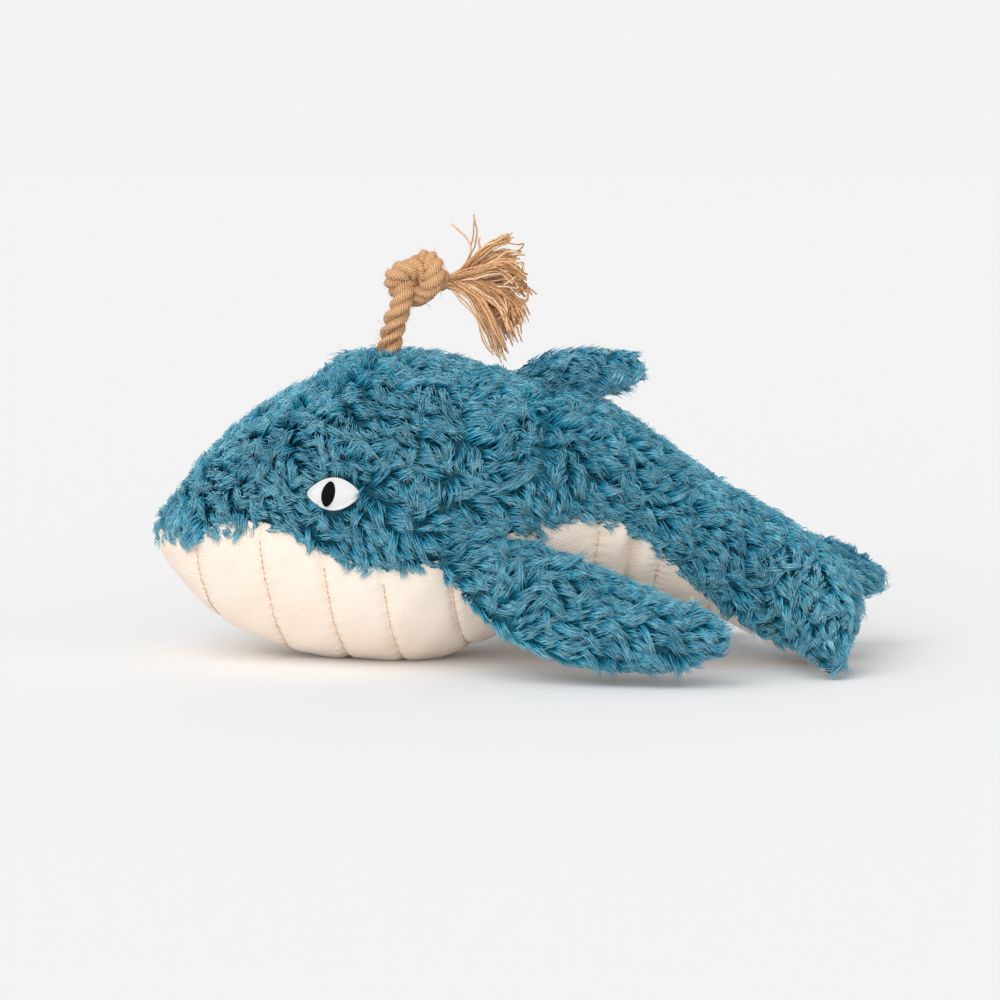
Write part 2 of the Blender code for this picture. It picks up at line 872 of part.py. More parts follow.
def route_curve(points, count):
    """Points at even steps along a smooth curve through the route."""
    points = np.array(points)
    lengths = np.concatenate([[0], np.cumsum(np.linalg.norm(np.diff(points, axis=0), axis=1))])
    fine = np.linspace(0, lengths[-1], count * 20)
    dense = np.array([[smooth(lengths, points[:, k], at) for k in range(3)] for at in fine])
    run = np.concatenate([[0], np.cumsum(np.linalg.norm(np.diff(dense, axis=0), axis=1))])
    even = np.linspace(0, run[-1], count)
    return np.stack([np.interp(even, run, dense[:, k]) for k in range(3)], axis=1), run[-1]


rope_exit = Vector((rope_exit_x, 0, rope_exit_z))
spout_points, rope_length = route_curve([rope_exit + Vector(step) for step in rope_route], rope_points)
arc = np.linspace(0, rope_length, rope_points)
thin_share = np.clip((arc - stem_length) / thinning_length, 0, 1)
radii = rope_radius + (knot_diameter / 2 - rope_radius) * thin_share


def least_gap(points, radii, arc):
    """The least distance between the tube's own surfaces, apart from neighbours along it."""
    apart = np.linalg.norm(points[:, None] - points[None], axis=2) - radii[:, None] - radii[None]
    along = np.abs(arc[:, None] - arc[None])
    return apart[along > rope_diameter * neighbour_share].min()


def tube(name, points, radii, finish):
    """A curve with a bevel through the points, made a mesh so that its caps are welded."""
    data = bpy.data.curves.new(name, "CURVE")
    data.dimensions = "3D"
    data.bevel_depth = rope_radius
    data.bevel_resolution = 2
    data.use_fill_caps = True
    spline = data.splines.new("POLY")
    spline.points.add(len(points) - 1)
    for point, where, radius in zip(spline.points, points, radii):
        point.co = (*where, 1)
        point.radius = radius / rope_radius
    holder = bpy.data.objects.new(name, data)
    bpy.context.scene.collection.objects.link(holder)
    graph = bpy.context.evaluated_depsgraph_get()
    solid = bpy.data.meshes.new_from_object(holder.evaluated_get(graph))
    bpy.data.objects.remove(holder)
    build = bmesh.new()
    build.from_mesh(solid)
    solid.materials.clear()
    return part(name, mesh_from(build, name), finish)


first_step = Vector(spout_points[1] - spout_points[0]).normalized()
foot_points = [Vector(spout_points[0]) + first_step * rope_radius * back for back, wide in foot_shares]
foot_radii = [rope_radius * wide for back, wide in foot_shares]
spout = tube(
    "spout_rope",
    [*foot_points, *[Vector(point) for point in spout_points]],
    [*foot_radii, *radii],
    jute,
)
hang("spout", [spout], rope_exit, (0, 1, 0))
print(f"spout rope: {rope_length * 1000:.1f} mm long, least gap {least_gap(spout_points, radii, arc) * 1000:.2f} mm")

# The tassel, a fan that opens from the rope's end
rope_end = Vector(spout_points[-1])
end_way = Vector(spout_points[-1] - spout_points[-2]).normalized()
tassel_pivot = rope_end + end_way * (tassel_neck_radius + touching_gap)
fan_way = Matrix.Rotation(math.radians(tassel_rise_deg), 3, "Y") @ Vector((1, 0, 0))
fan_up = Vector((0, 1, 0)).cross(fan_way) * -1
# The neck is half a ball about the pivot, so that it turns without touching the rope's end
neck_up = (fan_up - end_way * fan_up.dot(end_way)).normalized()
neck_side = neck_up.cross(end_way)
if neck_side.y < 0:
    neck_side = -neck_side
rows = []
for share in neck_ring_shares:
    back = -tassel_neck_radius * math.sqrt(1 - share * share)
    row = []
    for k in range(tassel_sides):
        angle = 2 * math.pi * k / tassel_sides
        spread = neck_side * math.cos(angle) + neck_up * math.sin(angle)
        row.append(tassel_pivot + end_way * back + spread * tassel_neck_radius * share)
    rows.append(row)
for along_share, high_share, deep_share, rise_share in tassel_shares:
    middle = tassel_pivot + fan_way * tassel_length * along_share + fan_up * tassel_height * rise_share
    row = []
    for k in range(tassel_sides):
        angle = 2 * math.pi * k / tassel_sides
        row.append(
            middle
            + Vector((0, 1, 0)) * math.cos(angle) * tassel_depth / 2 * deep_share
            + fan_up * math.sin(angle) * tassel_height / 2 * high_share
        )
    rows.append(row)
tassel = part("tassel", grid("tassel", rows, closed=True), jute)
hang("tassel", [tassel], tassel_pivot, (0, 1, 0))

# The side fins, the dorsal fin and the flukes, each cut by the body where it lies against it
body_cover = cutter("body_cover", body_loft("body_cover", fur_thickness + touching_gap))
tail_cover = cutter("tail_cover", body_loft("tail_cover", fur_thickness + touching_gap * 2))
cut(tail_cover, front_block)
tail_sweeps = []
for turn_deg in tail_sweep_deg:
    graph = bpy.context.evaluated_depsgraph_get()
    turned_mesh = bpy.data.meshes.new_from_object(tail_cover.evaluated_get(graph))
    bend = Matrix.Translation((bend_x, 0, bend_z))
    turned_mesh.transform(bend @ Matrix.Rotation(math.radians(turn_deg), 4, "Y") @ bend.inverted())
    tail_sweeps.append(cutter(f"tail_turned_{turn_deg}", turned_mesh))

for side_name, side in (("left", -1), ("right", 1)):
    half_run = (fin_shares[0][1][0] - fin_shares[0][0][0]) * fin_length / 2
    seat, along = root_line(fin_root_x, fin_root_above, half_run, fin_rise_deg, side)
    rise, splay = math.radians(fin_rise_deg), math.radians(fin_splay_deg)
    away = Vector(
        (math.sin(rise) * math.cos(splay), side * math.sin(splay), -math.cos(rise) * math.cos(splay))
    )
    frame = plane_frame(seat, along, away)
    outside = 1 if (frame[0] @ Vector((0, 0, 1))).y * side > 0 else -1
    pieces = limb(
        f"{side_name}_fin",
        (
            (f"{side_name}_fin_upper_panel", outside, fur_blue),
            (f"{side_name}_fin_under_panel", -outside, fur_blue),
        ),
        frame,
        fin_length,
        fin_thickness,
        fin_shares,
        (fur_panels[f"trunk_back_panel_{side_name}"],),
        (body_cover, *tail_sweeps),
    )
    hang(f"{side_name}_fin", pieces, seat, along * side)

dorsal_ends = [
    Vector((x, 0, section(x)[1] + fur_thickness + limb_lift_off))
    for x in (dorsal_root_x - dorsal_length / 2, dorsal_root_x + dorsal_length / 2)
]
dorsal_seat = (dorsal_ends[0] + dorsal_ends[1]) / 2
dorsal_along = (dorsal_ends[1] - dorsal_ends[0]).normalized()
fall = math.atan2(-dorsal_along.z, dorsal_along.x)
dorsal_frame = plane_frame(dorsal_seat, dorsal_along, Vector((math.sin(fall), 0, math.cos(fall))))
pieces = limb(
    "dorsal_fin",
    (("dorsal_fin_left_panel", 1, fur_blue), ("dorsal_fin_right_panel", -1, fur_blue)),
    dorsal_frame,
    dorsal_length,
    dorsal_thickness,
    dorsal_shares,
    (fur_panels["trunk_back_panel_left"], fur_panels["trunk_back_panel_right"]),
    (),
)
hang("dorsal_fin", pieces, dorsal_seat, dorsal_along)

for side_name, side in (("left", -1), ("right", 1)):
    above = skin_point(fluke_root_x, math.asin(fluke_root_share)).z
    above -= skin_point(fluke_root_x, seam_angle(fluke_root_x)).z
    seat, along = root_line(fluke_root_x, above, fluke_root_half_run, -fluke_fall_deg, side)
    fall, droop = math.radians(fluke_fall_deg), math.radians(fluke_droop_deg[side_name])
    away = Vector(
        (-math.sin(fall) * math.sin(droop), side * math.cos(droop), -math.cos(fall) * math.sin(droop))
    )
    frame = plane_frame(seat, along, away)
    upper = 1 if (frame[0] @ Vector((0, 0, 1))).z > 0 else -1
    pieces = limb(
        f"{side_name}_fluke",
        (
            (f"{side_name}_fluke_upper_panel", upper, fur_blue),
            (f"{side_name}_fluke_under_panel", -upper, canvas_cream),
        ),
        frame,
        fluke_length,
        fluke_thickness,
        fluke_shares,
        (fur_panels[f"tail_back_panel_{side_name}"],),
        (body_cover,),
    )
    hang(f"{side_name}_fluke", pieces, seat, along * side)

tail_pieces = [
    fur_panels["tail_back_panel_left"],
    fur_panels["tail_back_panel_right"],
    belly_panels["tail"],
    stuffings["tail"],
]
hang("tail", tail_pieces, (bend_x, 0, bend_z), (0, 1, 0))
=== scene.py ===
"""A plush whale with a canvas belly and a spout of jute rope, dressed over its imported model."""

import math

import bpy
import numpy as np
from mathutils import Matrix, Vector, kdtree, noise


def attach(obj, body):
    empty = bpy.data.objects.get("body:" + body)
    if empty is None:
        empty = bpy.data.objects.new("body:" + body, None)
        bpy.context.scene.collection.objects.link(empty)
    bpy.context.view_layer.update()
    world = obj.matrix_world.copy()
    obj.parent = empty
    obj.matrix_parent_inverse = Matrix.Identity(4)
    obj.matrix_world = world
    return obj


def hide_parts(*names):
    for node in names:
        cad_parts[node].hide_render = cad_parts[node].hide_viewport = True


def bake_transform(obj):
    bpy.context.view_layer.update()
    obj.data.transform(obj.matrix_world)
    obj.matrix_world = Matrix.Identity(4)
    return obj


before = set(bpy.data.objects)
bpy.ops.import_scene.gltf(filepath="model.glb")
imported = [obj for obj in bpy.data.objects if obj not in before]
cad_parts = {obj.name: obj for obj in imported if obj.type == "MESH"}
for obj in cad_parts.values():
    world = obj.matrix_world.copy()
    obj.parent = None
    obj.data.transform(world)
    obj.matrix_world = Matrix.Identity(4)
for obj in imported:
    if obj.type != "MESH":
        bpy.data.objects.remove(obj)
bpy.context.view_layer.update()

# The camera of the photograph: a long lens a step and a half away, a little above the whale and a little
# behind its middle, so that the tail is nearer than the nose.
camera_distance = 1.5
camera_height_deg = 5.5
camera_turn_deg = 7.0
photo_width = 0.430
aim = Vector((-0.0065, 0.0, 0.0682))
height, turn = math.radians(camera_height_deg), math.radians(camera_turn_deg)
to_camera = Vector((math.sin(turn) * math.cos(height), -math.cos(turn) * math.cos(height), math.sin(height)))
bpy.ops.object.camera_add(location=aim + to_camera * camera_distance)
camera = bpy.context.object
camera.rotation_euler = to_camera.to_track_quat("Z", "Y").to_euler()
camera.data.sensor_width = 36
camera.data.lens = camera.data.sensor_width * camera_distance / photo_width
camera.data.clip_end = 200
bpy.context.scene.camera = camera
bpy.context.scene.view_settings.view_transform = "Standard"

# The studio: a wide pale floor, a soft key light from above and the left, a low one from the front, weak ones
# from the right and the back, and an even pale surround. Suns light the whole floor alike, so that it runs
# into the surround without an edge.
floor_white = 0.93
surround_white = 0.895


def nothing_selected():
    if bpy.context.mode != "OBJECT":
        bpy.ops.object.mode_set(mode="OBJECT")
    bpy.ops.object.select_all(action="DESELECT")


def add_node(tree, kind, inputs=None, **settings):
    """A node with its settings and with its inputs, which are values or other nodes' outputs."""
    made = tree.nodes.new(kind)
    for key, value in settings.items():
        setattr(made, key, value)
    for key, value in (inputs or {}).items():
        if isinstance(value, bpy.types.NodeSocket):
            tree.links.new(value, made.inputs[key])
        else:
            made.inputs[key].default_value = value
    return made


def new_material(name, roughness, **constants):
    """A material with a Principled shader, whose constant values stand on its own sockets."""
    made = bpy.data.materials.new(name)
    made.use_nodes = True
    shader = made.node_tree.nodes["Principled BSDF"]
    shader.inputs["Roughness"].default_value = roughness
    for key, value in constants.items():
        shader.inputs[key.replace("_", " ")].default_value = value
    return made, made.node_tree, shader


nothing_selected()
bpy.ops.mesh.primitive_plane_add(size=120, location=(0, 0, 0))
floor = bpy.context.object
floor.name = "studio_floor"
floor_paper, tree, shader = new_material("floor_paper", 1.0, Specular_IOR_Level=0.0)
shader.inputs["Base Color"].default_value = (floor_white, floor_white, floor_white, 1)
floor.data.materials.append(floor_paper)

world = bpy.data.worlds.new("surround")
bpy.context.scene.world = world
world.use_nodes = True
tree = world.node_tree
tree.nodes.clear()
seen = add_node(tree, "ShaderNodeBackground", {"Color": (surround_white,) * 3 + (1,), "Strength": 1.0})
lit = add_node(tree, "ShaderNodeBackground", {"Color": (1.0, 1.0, 1.0, 1), "Strength": 0.526})
ray = add_node(tree, "ShaderNodeLightPath")
straight = add_node(
    tree, "ShaderNodeMath", {0: ray.outputs["Is Camera Ray"], 1: ray.outputs["Is Glossy Ray"]}, operation="MAXIMUM"
)
direct = add_node(
    tree, "ShaderNodeMath", {0: straight.outputs[0], 1: ray.outputs["Is Transmission Ray"]}, operation="MAXIMUM"
)
mixed = add_node(tree, "ShaderNodeMixShader", {0: direct.outputs[0], 1: lit.outputs[0], 2: seen.outputs[0]})
add_node(tree, "ShaderNodeOutputWorld", {"Surface": mixed.outputs[0]})

for name, strength, spread_deg, direction in (
    ("key_light", 1.00, 50, (0.45, 0.62, -0.95)),
    ("front_light", 1.72, 60, (0.12, 0.95, -0.08)),
    ("fill_light", 0.40, 80, (-0.75, 0.80, -0.60)),
    ("back_light", 0.20, 60, (0.10, -0.85, -0.75)),
):
    bpy.ops.object.light_add(type="SUN", location=(0, 0, 1))
    light = bpy.context.object
    light.name = name
    light.data.energy = strength
    light.data.angle = math.radians(spread_deg)
    light.rotation_euler = (-Vector(direction)).to_track_quat("Z", "Y").to_euler()

# The spout: one length of jute rope, laid right-handed from three strands of thin yarns, and sewn into the
# head. It stands up out of the pile and is tied in an overhand knot, which pulls its strands thinner.
rope_exit = np.array((-0.0546, 0.0, 0.1325))
rope_foot = np.array((-0.0010, 0.0, -0.0060))
rope_route = np.array((
    (0.0000, 0.0000, 0.0000),
    (0.0014, 0.0000, 0.0072),
    (0.0030, -0.0010, 0.0132),
    (0.0052, -0.0025, 0.0187),
    (0.0067, -0.0025, 0.0242),
    (0.0083, 0.0003, 0.0297),
    (0.0105, 0.0045, 0.0352),
    (0.0145, 0.0048, 0.0392),
    (0.0190, 0.0000, 0.0390),
    (0.0217, -0.0045, 0.0352),
    (0.0207, -0.0050, 0.0292),
    (0.0160, -0.0008, 0.0244),
    (0.0100, 0.0045, 0.0222),
    (0.0040, 0.0050, 0.0244),
    (0.0015, 0.0005, 0.0292),
    (0.0037, -0.0045, 0.0334),
    (0.0095, -0.0050, 0.0357),
    (0.0157, 0.0000, 0.0330),
    (0.0208, 0.0045, 0.0305),
    (0.0252, 0.0052, 0.0287),
))
# The knot is drawn a little tighter than the route, towards its middle, which is measured from the exit
knot_middle = np.array((0.0105, 0.0, 0.0285))
knot_pull = 0.12
rope_diameter = 0.0104
knot_diameter = 0.0092
stem_length = 0.018
thinning_length = 0.012
rope_lay = 0.019
rope_rings = 300
strand_sides = 18
strand_share = 0.50
strand_set_out = 0.52
flattened_in_knot = 0.14
yarns_in_strand = 15
yarn_turns_in_a_lay = 1.07


def smooth(places, values, at):
    """The value of a smooth curve through a table's points."""
    slopes = np.gradient(values, places)
    left = np.clip(np.searchsorted(places, at) - 1, 0, len(places) - 2)
    span = places[left + 1] - places[left]
    t = np.clip((at - places[left]) / span, 0, 1)
    return (
        (1 + 2 * t) * (1 - t) ** 2 * values[left]
        + t * (1 - t) ** 2 * span * slopes[left]
        + t * t * (3 - 2 * t) * values[left + 1]
        + t * t * (t - 1) * span * slopes[left + 1]
    )


def unit(vectors):
    return vectors / np.maximum(np.linalg.norm(vectors, axis=-1, keepdims=True), 1e-12)


def run_of(points):
    """The distance along a line at each of its points."""
    return np.concatenate([[0], np.cumsum(np.linalg.norm(np.diff(points, axis=0), axis=1))])


def even_curve(points, count):
    """Points at even steps along a smooth curve through the given ones, and the curve's length."""
    lengths = run_of(points)
    fine = np.linspace(0, lengths[-1], count * 12)
    dense = np.stack([smooth(lengths, points[:, k], fine) for k in range(3)], axis=1)
    run = run_of(dense)
    even = np.linspace(0, run[-1], count)
    return np.stack([np.interp(even, run, dense[:, k]) for k in range(3)], axis=1), run[-1]


def carried_frames(points):
    """The way along a line and two directions square to it, which don't spin about it."""
    ways = unit(np.gradient(points, axis=0))
    first = np.empty_like(ways)
    first[0] = unit(np.cross(ways[0], (0, 1, 0)))
    for k in range(1, len(points)):
        first[k] = unit(first[k - 1] - ways[k] * np.dot(first[k - 1], ways[k]))
    return first, np.cross(ways, first)


def set_points(piece, points):
    piece.data.vertices.foreach_set("co", np.ascontiguousarray(points, dtype=np.float32).ravel())
    piece.data.update()


def finish_mesh(piece, doubles=0.0):
    """Merge what lies on one spot, turn the faces outwards and shade the piece smooth."""
    nothing_selected()
    piece.select_set(True)
    bpy.context.view_layer.objects.active = piece
    bpy.ops.object.mode_set(mode="EDIT")
    bpy.ops.mesh.select_all(action="SELECT")
    if doubles:
        bpy.ops.mesh.remove_doubles(threshold=doubles)
    bpy.ops.mesh.normals_make_consistent(inside=False)
    bpy.ops.object.mode_set(mode="OBJECT")
    bpy.ops.object.shade_smooth()


def shaped_grid(name, along, around, shape):
    """A grid, with each point moved to where the shape puts it, from two shares between 0 and 1."""
    nothing_selected()
    bpy.ops.mesh.primitive_grid_add(x_subdivisions=along, y_subdivisions=around, size=2)
    made = bpy.context.object
    made.name = name
    flat = np.array([vert.co for vert in made.data.vertices])
    set_points(made, shape((flat[:, 0] + 1) / 2, (flat[:, 1] + 1) / 2))
    return made


def joined(pieces, name):
    nothing_selected()
    for piece in pieces:
        piece.select_set(True)
    bpy.context.view_layer.objects.active = pieces[0]
    bpy.ops.object.join()
    pieces[0].name = name
    return pieces[0]


rope_points, rope_length = even_curve(np.concatenate([[rope_exit + rope_foot], rope_exit + rope_route]), rope_rings)
rope_share = np.linspace(0, 1, rope_rings)
thinned = np.clip((rope_share * rope_length - stem_length) / thinning_length, 0, 1)
rope_radii = (rope_diameter + (knot_diameter - rope_diameter) * thinned * thinned * (3 - 2 * thinned)) / 2
from_end = np.clip((1 - rope_share) * rope_length / thinning_length, 0, 1)
rope_points += (rope_exit + knot_middle - rope_points) * (knot_pull * thinned * from_end)[:, None]
rope_first, rope_second = carried_frames(rope_points)
rope_turns = np.concatenate([[0], np.cumsum(rope_length / (rope_rings - 1) / rope_lay * rope_diameter / 2 / rope_radii[1:])])


def rope_strand(number):
    def form(share, round_share):
        place, first, second = (
            np.stack([np.interp(share, rope_share, table[:, k]) for k in range(3)], axis=1)
            for table in (rope_points, rope_first, rope_second)
        )
        radius = np.interp(share, rope_share, rope_radii)[:, None]
        turn = 2 * math.pi * (np.interp(share, rope_share, rope_turns) + number / 3)[:, None]
        angle = 2 * math.pi * round_share[:, None]
        closing = np.sqrt(np.clip(1 - (np.maximum(np.abs(2 * share - 1) - 0.97, 0) / 0.03) ** 2, 0, 1))[:, None]
        flat = flattened_in_knot * np.interp(share, rope_share, thinned)[:, None]
        middle = place + (first * np.cos(turn) + second * np.sin(turn)) * radius * (strand_set_out - flat)
        width = radius * (strand_share + flat) * closing
        yarns = 1 + 0.02 * np.cos(angle * yarns_in_strand + turn * yarn_turns_in_a_lay * yarns_in_strand)
        return middle + (first * np.cos(angle) + second * np.sin(angle)) * width * yarns

    strand = shaped_grid(f"rope_strand_{number}", rope_rings * 2, strand_sides, form)
    finish_mesh(strand, doubles=0.000001)
    return strand


spout = joined([rope_strand(number) for number in range(3)], "jute_spout")

jute_laid, tree, shader = new_material("jute_laid", 0.85, Specular_IOR_Level=0.1, Sheen_Weight=0.04)
rolled = add_node(tree, "ShaderNodeUVMap", uv_map="UVMap")
split = add_node(tree, "ShaderNodeSeparateXYZ", {0: rolled.outputs["UV"]})
turned_by = 2 * math.pi * yarns_in_strand
down = add_node(
    tree, "ShaderNodeMath",
    {0: split.outputs["X"], 1: turned_by * yarn_turns_in_a_lay * float(rope_turns[-1])}, operation="MULTIPLY",
)
across = add_node(tree, "ShaderNodeMath", {0: split.outputs["Y"], 1: turned_by}, operation="MULTIPLY")
slant = add_node(tree, "ShaderNodeMath", {0: down.outputs[0], 1: across.outputs[0]}, operation="ADD")
ridge = add_node(tree, "ShaderNodeMath", {0: slant.outputs[0]}, operation="COSINE")
where = add_node(tree, "ShaderNodeTexCoord")
fibre = add_node(
    tree, "ShaderNodeTexNoise", {"Vector": where.outputs["Object"], "Scale": 1500.0, "Detail": 3.0}
)
lumps = add_node(tree, "ShaderNodeMath", {0: fibre.outputs["Fac"], 1: 2.2}, operation="MULTIPLY")
height_sum = add_node(tree, "ShaderNodeMath", {0: ridge.outputs[0], 1: lumps.outputs[0]}, operation="ADD")
shade = add_node(tree, "ShaderNodeMapRange", {"Value": height_sum.outputs[0], "From Min": -0.6, "From Max": 2.4})
# Painted shade: the rope is darker in the grooves between its yarns and lighter on their crowns, by the same height
# as the bump; the noise adds the fibre's own uneven tone
ramp = add_node(tree, "ShaderNodeValToRGB", {"Fac": shade.outputs[0]})
ramp.color_ramp.elements[0].color = (0.460, 0.190, 0.060, 1)
ramp.color_ramp.elements[1].color = (1.000, 0.640, 0.360, 1)
tree.links.new(ramp.outputs["Color"], shader.inputs["Base Color"])
bump = add_node(tree, "ShaderNodeBump", {"Height": height_sum.outputs[0], "Strength": 0.9, "Distance": 0.00025})
tree.links.new(bump.outputs["Normal"], shader.inputs["Normal"])
spout.data.materials.append(jute_laid)
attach(spout, "spout")
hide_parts("spout_rope")

# The tassel: the rope's end beyond the knot, opened into its single yarns, which spread in a fan of bundles.
# Some yarns stand out alone or curl back in loops, and short broken fibres stick out of the rope itself.
yarn_radius = 0.00044
yarn_rings = 15
yarn_sides = 5
# Each bundle: the two points that pull its middle, where it ends, how far its yarns stand apart there, and how
# many there are
yarn_bundles = (
    ((-0.0200, 0.004, 0.1660), (-0.0120, 0.000, 0.1780), (-0.0026, -0.001, 0.1812), 0.0024, 24),
    ((-0.0200, 0.006, 0.1640), (-0.0110, 0.008, 0.1760), (-0.0020, 0.010, 0.1740), 0.0030, 26),
    ((-0.0190, 0.003, 0.1630), (-0.0080, -0.003, 0.1720), (0.0020, -0.004, 0.1650), 0.0034, 54),
    ((-0.0190, 0.008, 0.1615), (-0.0070, 0.013, 0.1680), (0.0020, 0.012, 0.1590), 0.0036, 44),
    ((-0.0190, 0.004, 0.1600), (-0.0055, 0.001, 0.1630), (0.0000, -0.002, 0.1450), 0.0042, 64),
    ((-0.0200, 0.006, 0.1590), (-0.0080, 0.008, 0.1580), (-0.0020, 0.007, 0.1390), 0.0040, 50),
    ((-0.0210, 0.002, 0.1585), (-0.0130, -0.002, 0.1560), (-0.0062, -0.001, 0.1325), 0.0028, 34),
)
# Each stray: the two points that pull one yarn, and where it ends
yarn_strays = (
    ((-0.0150, 0.002, 0.1680), (-0.0180, 0.001, 0.1840), (-0.0284, 0.001, 0.1868)),
    ((-0.0150, 0.003, 0.1680), (-0.0195, 0.004, 0.1800), (-0.0186, 0.004, 0.1902)),
    ((-0.0145, 0.001, 0.1675), (-0.0175, -0.002, 0.1810), (-0.0163, -0.003, 0.1880)),
    ((-0.0140, 0.002, 0.1675), (-0.0170, 0.000, 0.1810), (-0.0140, 0.000, 0.1800)),
    ((-0.0120, 0.000, 0.1660), (-0.0020, -0.004, 0.1780), (0.0020, -0.004, 0.1750)),
    ((-0.0100, 0.000, 0.1640), (0.0020, -0.006, 0.1540), (0.0045, -0.006, 0.1600)),
    ((-0.0100, 0.002, 0.1620), (-0.0020, 0.004, 0.1520), (0.0050, 0.004, 0.1545)),
    ((-0.0180, -0.002, 0.1560), (-0.0150, -0.010, 0.1380), (-0.0050, -0.010, 0.1310)),
    ((-0.0180, -0.002, 0.1570), (-0.0160, -0.006, 0.1400), (-0.0080, -0.006, 0.1300)),
)
loop_count = 10
loop_reach = (0.0045, -0.002, 0.1640)
fuzz_count = 420


def strand_mesh(name, paths, radii, sides, square_to, tones):
    """One mesh of many thin strands. Paths is (strand, ring, 3), and a strand ends in a point at its last
    ring. The map strand holds each strand's tone and the share along it, and OFBake its own small square."""
    count, rings = paths.shape[:2]
    ways = unit(np.gradient(paths, axis=1))
    first = unit(np.cross(ways, square_to[:, None]))
    second = np.cross(ways, first)
    turns = 2 * math.pi * np.arange(sides) / sides
    around = first[:, :, None] * np.cos(turns)[:, None] + second[:, :, None] * np.sin(turns)[:, None]
    skin = paths[:, :-1, None] + around[:, :-1] * radii[:, :-1, None, None]
    points = np.concatenate([skin.reshape(count, -1, 3), paths[:, -1:]], axis=1)
    each = points.shape[1]
    corners, places, sizes = [], [], []
    for ring in range(rings - 1):
        for side in range(sides):
            after = (side + 1) % sides
            corners += [ring * sides + side, ring * sides + after]
            places += [(side / sides, ring / (rings - 1)), ((side + 1) / sides, ring / (rings - 1))]
            if ring < rings - 2:
                corners += [(ring + 1) * sides + after, (ring + 1) * sides + side]
                places += [((side + 1) / sides, (ring + 1) / (rings - 1)), (side / sides, (ring + 1) / (rings - 1))]
                sizes.append(4)
            else:
                corners.append(each - 1)
                places.append(((side + 0.5) / sides, 1.0))
                sizes.append(3)
    corners += list(range(sides))[::-1]
    places += [(0.5, 0.0)] * sides
    sizes.append(sides)
    corners, places, sizes = np.array(corners), np.array(places), np.array(sizes)
    mesh = bpy.data.meshes.new(name)
    mesh.vertices.add(count * each)
    mesh.vertices.foreach_set("co", points.astype(np.float32).ravel())
    mesh.loops.add(count * len(corners))
    mesh.loops.foreach_set(
        "vertex_index", (corners + np.arange(count)[:, None] * each).astype(np.int32).ravel()
    )
    starts = np.concatenate([[0], np.cumsum(np.tile(sizes, count))[:-1]])
    mesh.polygons.add(len(starts))
    mesh.polygons.foreach_set("loop_start", starts.astype(np.int32))
    mesh.polygons.foreach_set("use_smooth", np.ones(len(starts), dtype=bool))
    mesh.update(calc_edges=True)
    tone = np.broadcast_to(tones[:, None], (count, len(corners)))
    share = np.broadcast_to(places[:, 1], (count, len(corners)))
    mesh.uv_layers.new(name="strand").data.foreach_set(
        "uv", np.stack([tone, share], axis=-1).astype(np.float32).ravel()
    )
    columns = math.ceil(math.sqrt(count))
    cell = np.stack([np.arange(count) % columns, np.arange(count) // columns], axis=1)
    squares = (cell[:, None] + 0.06 + 0.88 * places) / columns
    mesh.uv_layers.new(name="OFBake").data.foreach_set("uv", squares.astype(np.float32).ravel())
    made = bpy.data.objects.new(name, mesh)
    bpy.context.scene.collection.objects.link(made)
    return made


def bent_path(knots, steps):
    """Steps along a curve that four points pull, for many curves at once."""
    t = steps[:, None]
    a, b, c, d = (knots[:, k][:, None] for k in range(4))
    return a * (1 - t) ** 3 + b * 3 * t * (1 - t) ** 2 + c * 3 * t * t * (1 - t) + d * t ** 3


random = np.random.default_rng(41)
neck = rope_points[-1]
neck_way = unit(rope_points[-1] - rope_points[-6])
knots, wavy = [], []
for one, two, end, spread, count in yarn_bundles:
    bundle_phase = random.uniform(0, 2 * math.pi, 3)
    for _ in range(count):
        apart = random.normal(0, 0.55, 3)
        start = neck - neck_way * 0.002 + apart * 0.0016
        longer = random.normal(0, 0.0016)
        way = unit(np.array(end) - np.array(two))
        knots.append((
            start,
            np.array(one) + apart * spread * 0.5,
            np.array(two) + apart * spread * 0.9,
            np.array(end) + apart * spread + way * longer,
        ))
        wavy.append(bundle_phase + random.normal(0, 0.5, 3))
for one, two, end in yarn_strays:
    start = neck - neck_way * 0.003 + random.normal(0, 0.0008, 3)
    knots.append((start, np.array(one), np.array(two), np.array(end)))
    wavy.append(random.uniform(0, 2 * math.pi, 3))
for _ in range(loop_count):
    start = neck + random.normal(0, 0.0012, 3)
    far = np.array(loop_reach) + random.normal(0, 1, 3) * (0.0012, 0.005, 0.006)
    back = far + np.array((-0.011, random.normal(0, 0.003), random.normal(-0.003, 0.005)))
    knots.append((start, far + (0.003, 0, 0.005), far + (0.005, 0, -0.004), back))
    wavy.append(random.uniform(0, 2 * math.pi, 3))
knots, wavy = np.array(knots), np.array(wavy)
steps = np.append(np.linspace(0, 0.985, yarn_rings - 1), 1.0)
paths = bent_path(knots, steps)
paths += np.sin(2 * math.pi * 1.7 * steps[:, None] + wavy[:, None]) * 0.0007 * np.minimum(steps * 4, 1)[:, None]
paths += np.sin(2 * math.pi * 4.1 * steps[:, None] + wavy[:, None] * 3) * 0.00018
radii = np.tile(yarn_radius * (1 - 0.10 * steps ** 3), (len(paths), 1))
radii *= random.uniform(0.72, 1.2, (len(paths), 1))
radii[:, 0] *= 0.8
square_to = np.tile(np.array((0.12, 1.0, 0.08)), (len(paths), 1))
tones = np.clip(random.normal(0.5, 0.22, len(paths)), 0.02, 0.98)
tassel = strand_mesh("jute_tassel", paths, radii, yarn_sides, square_to, tones)

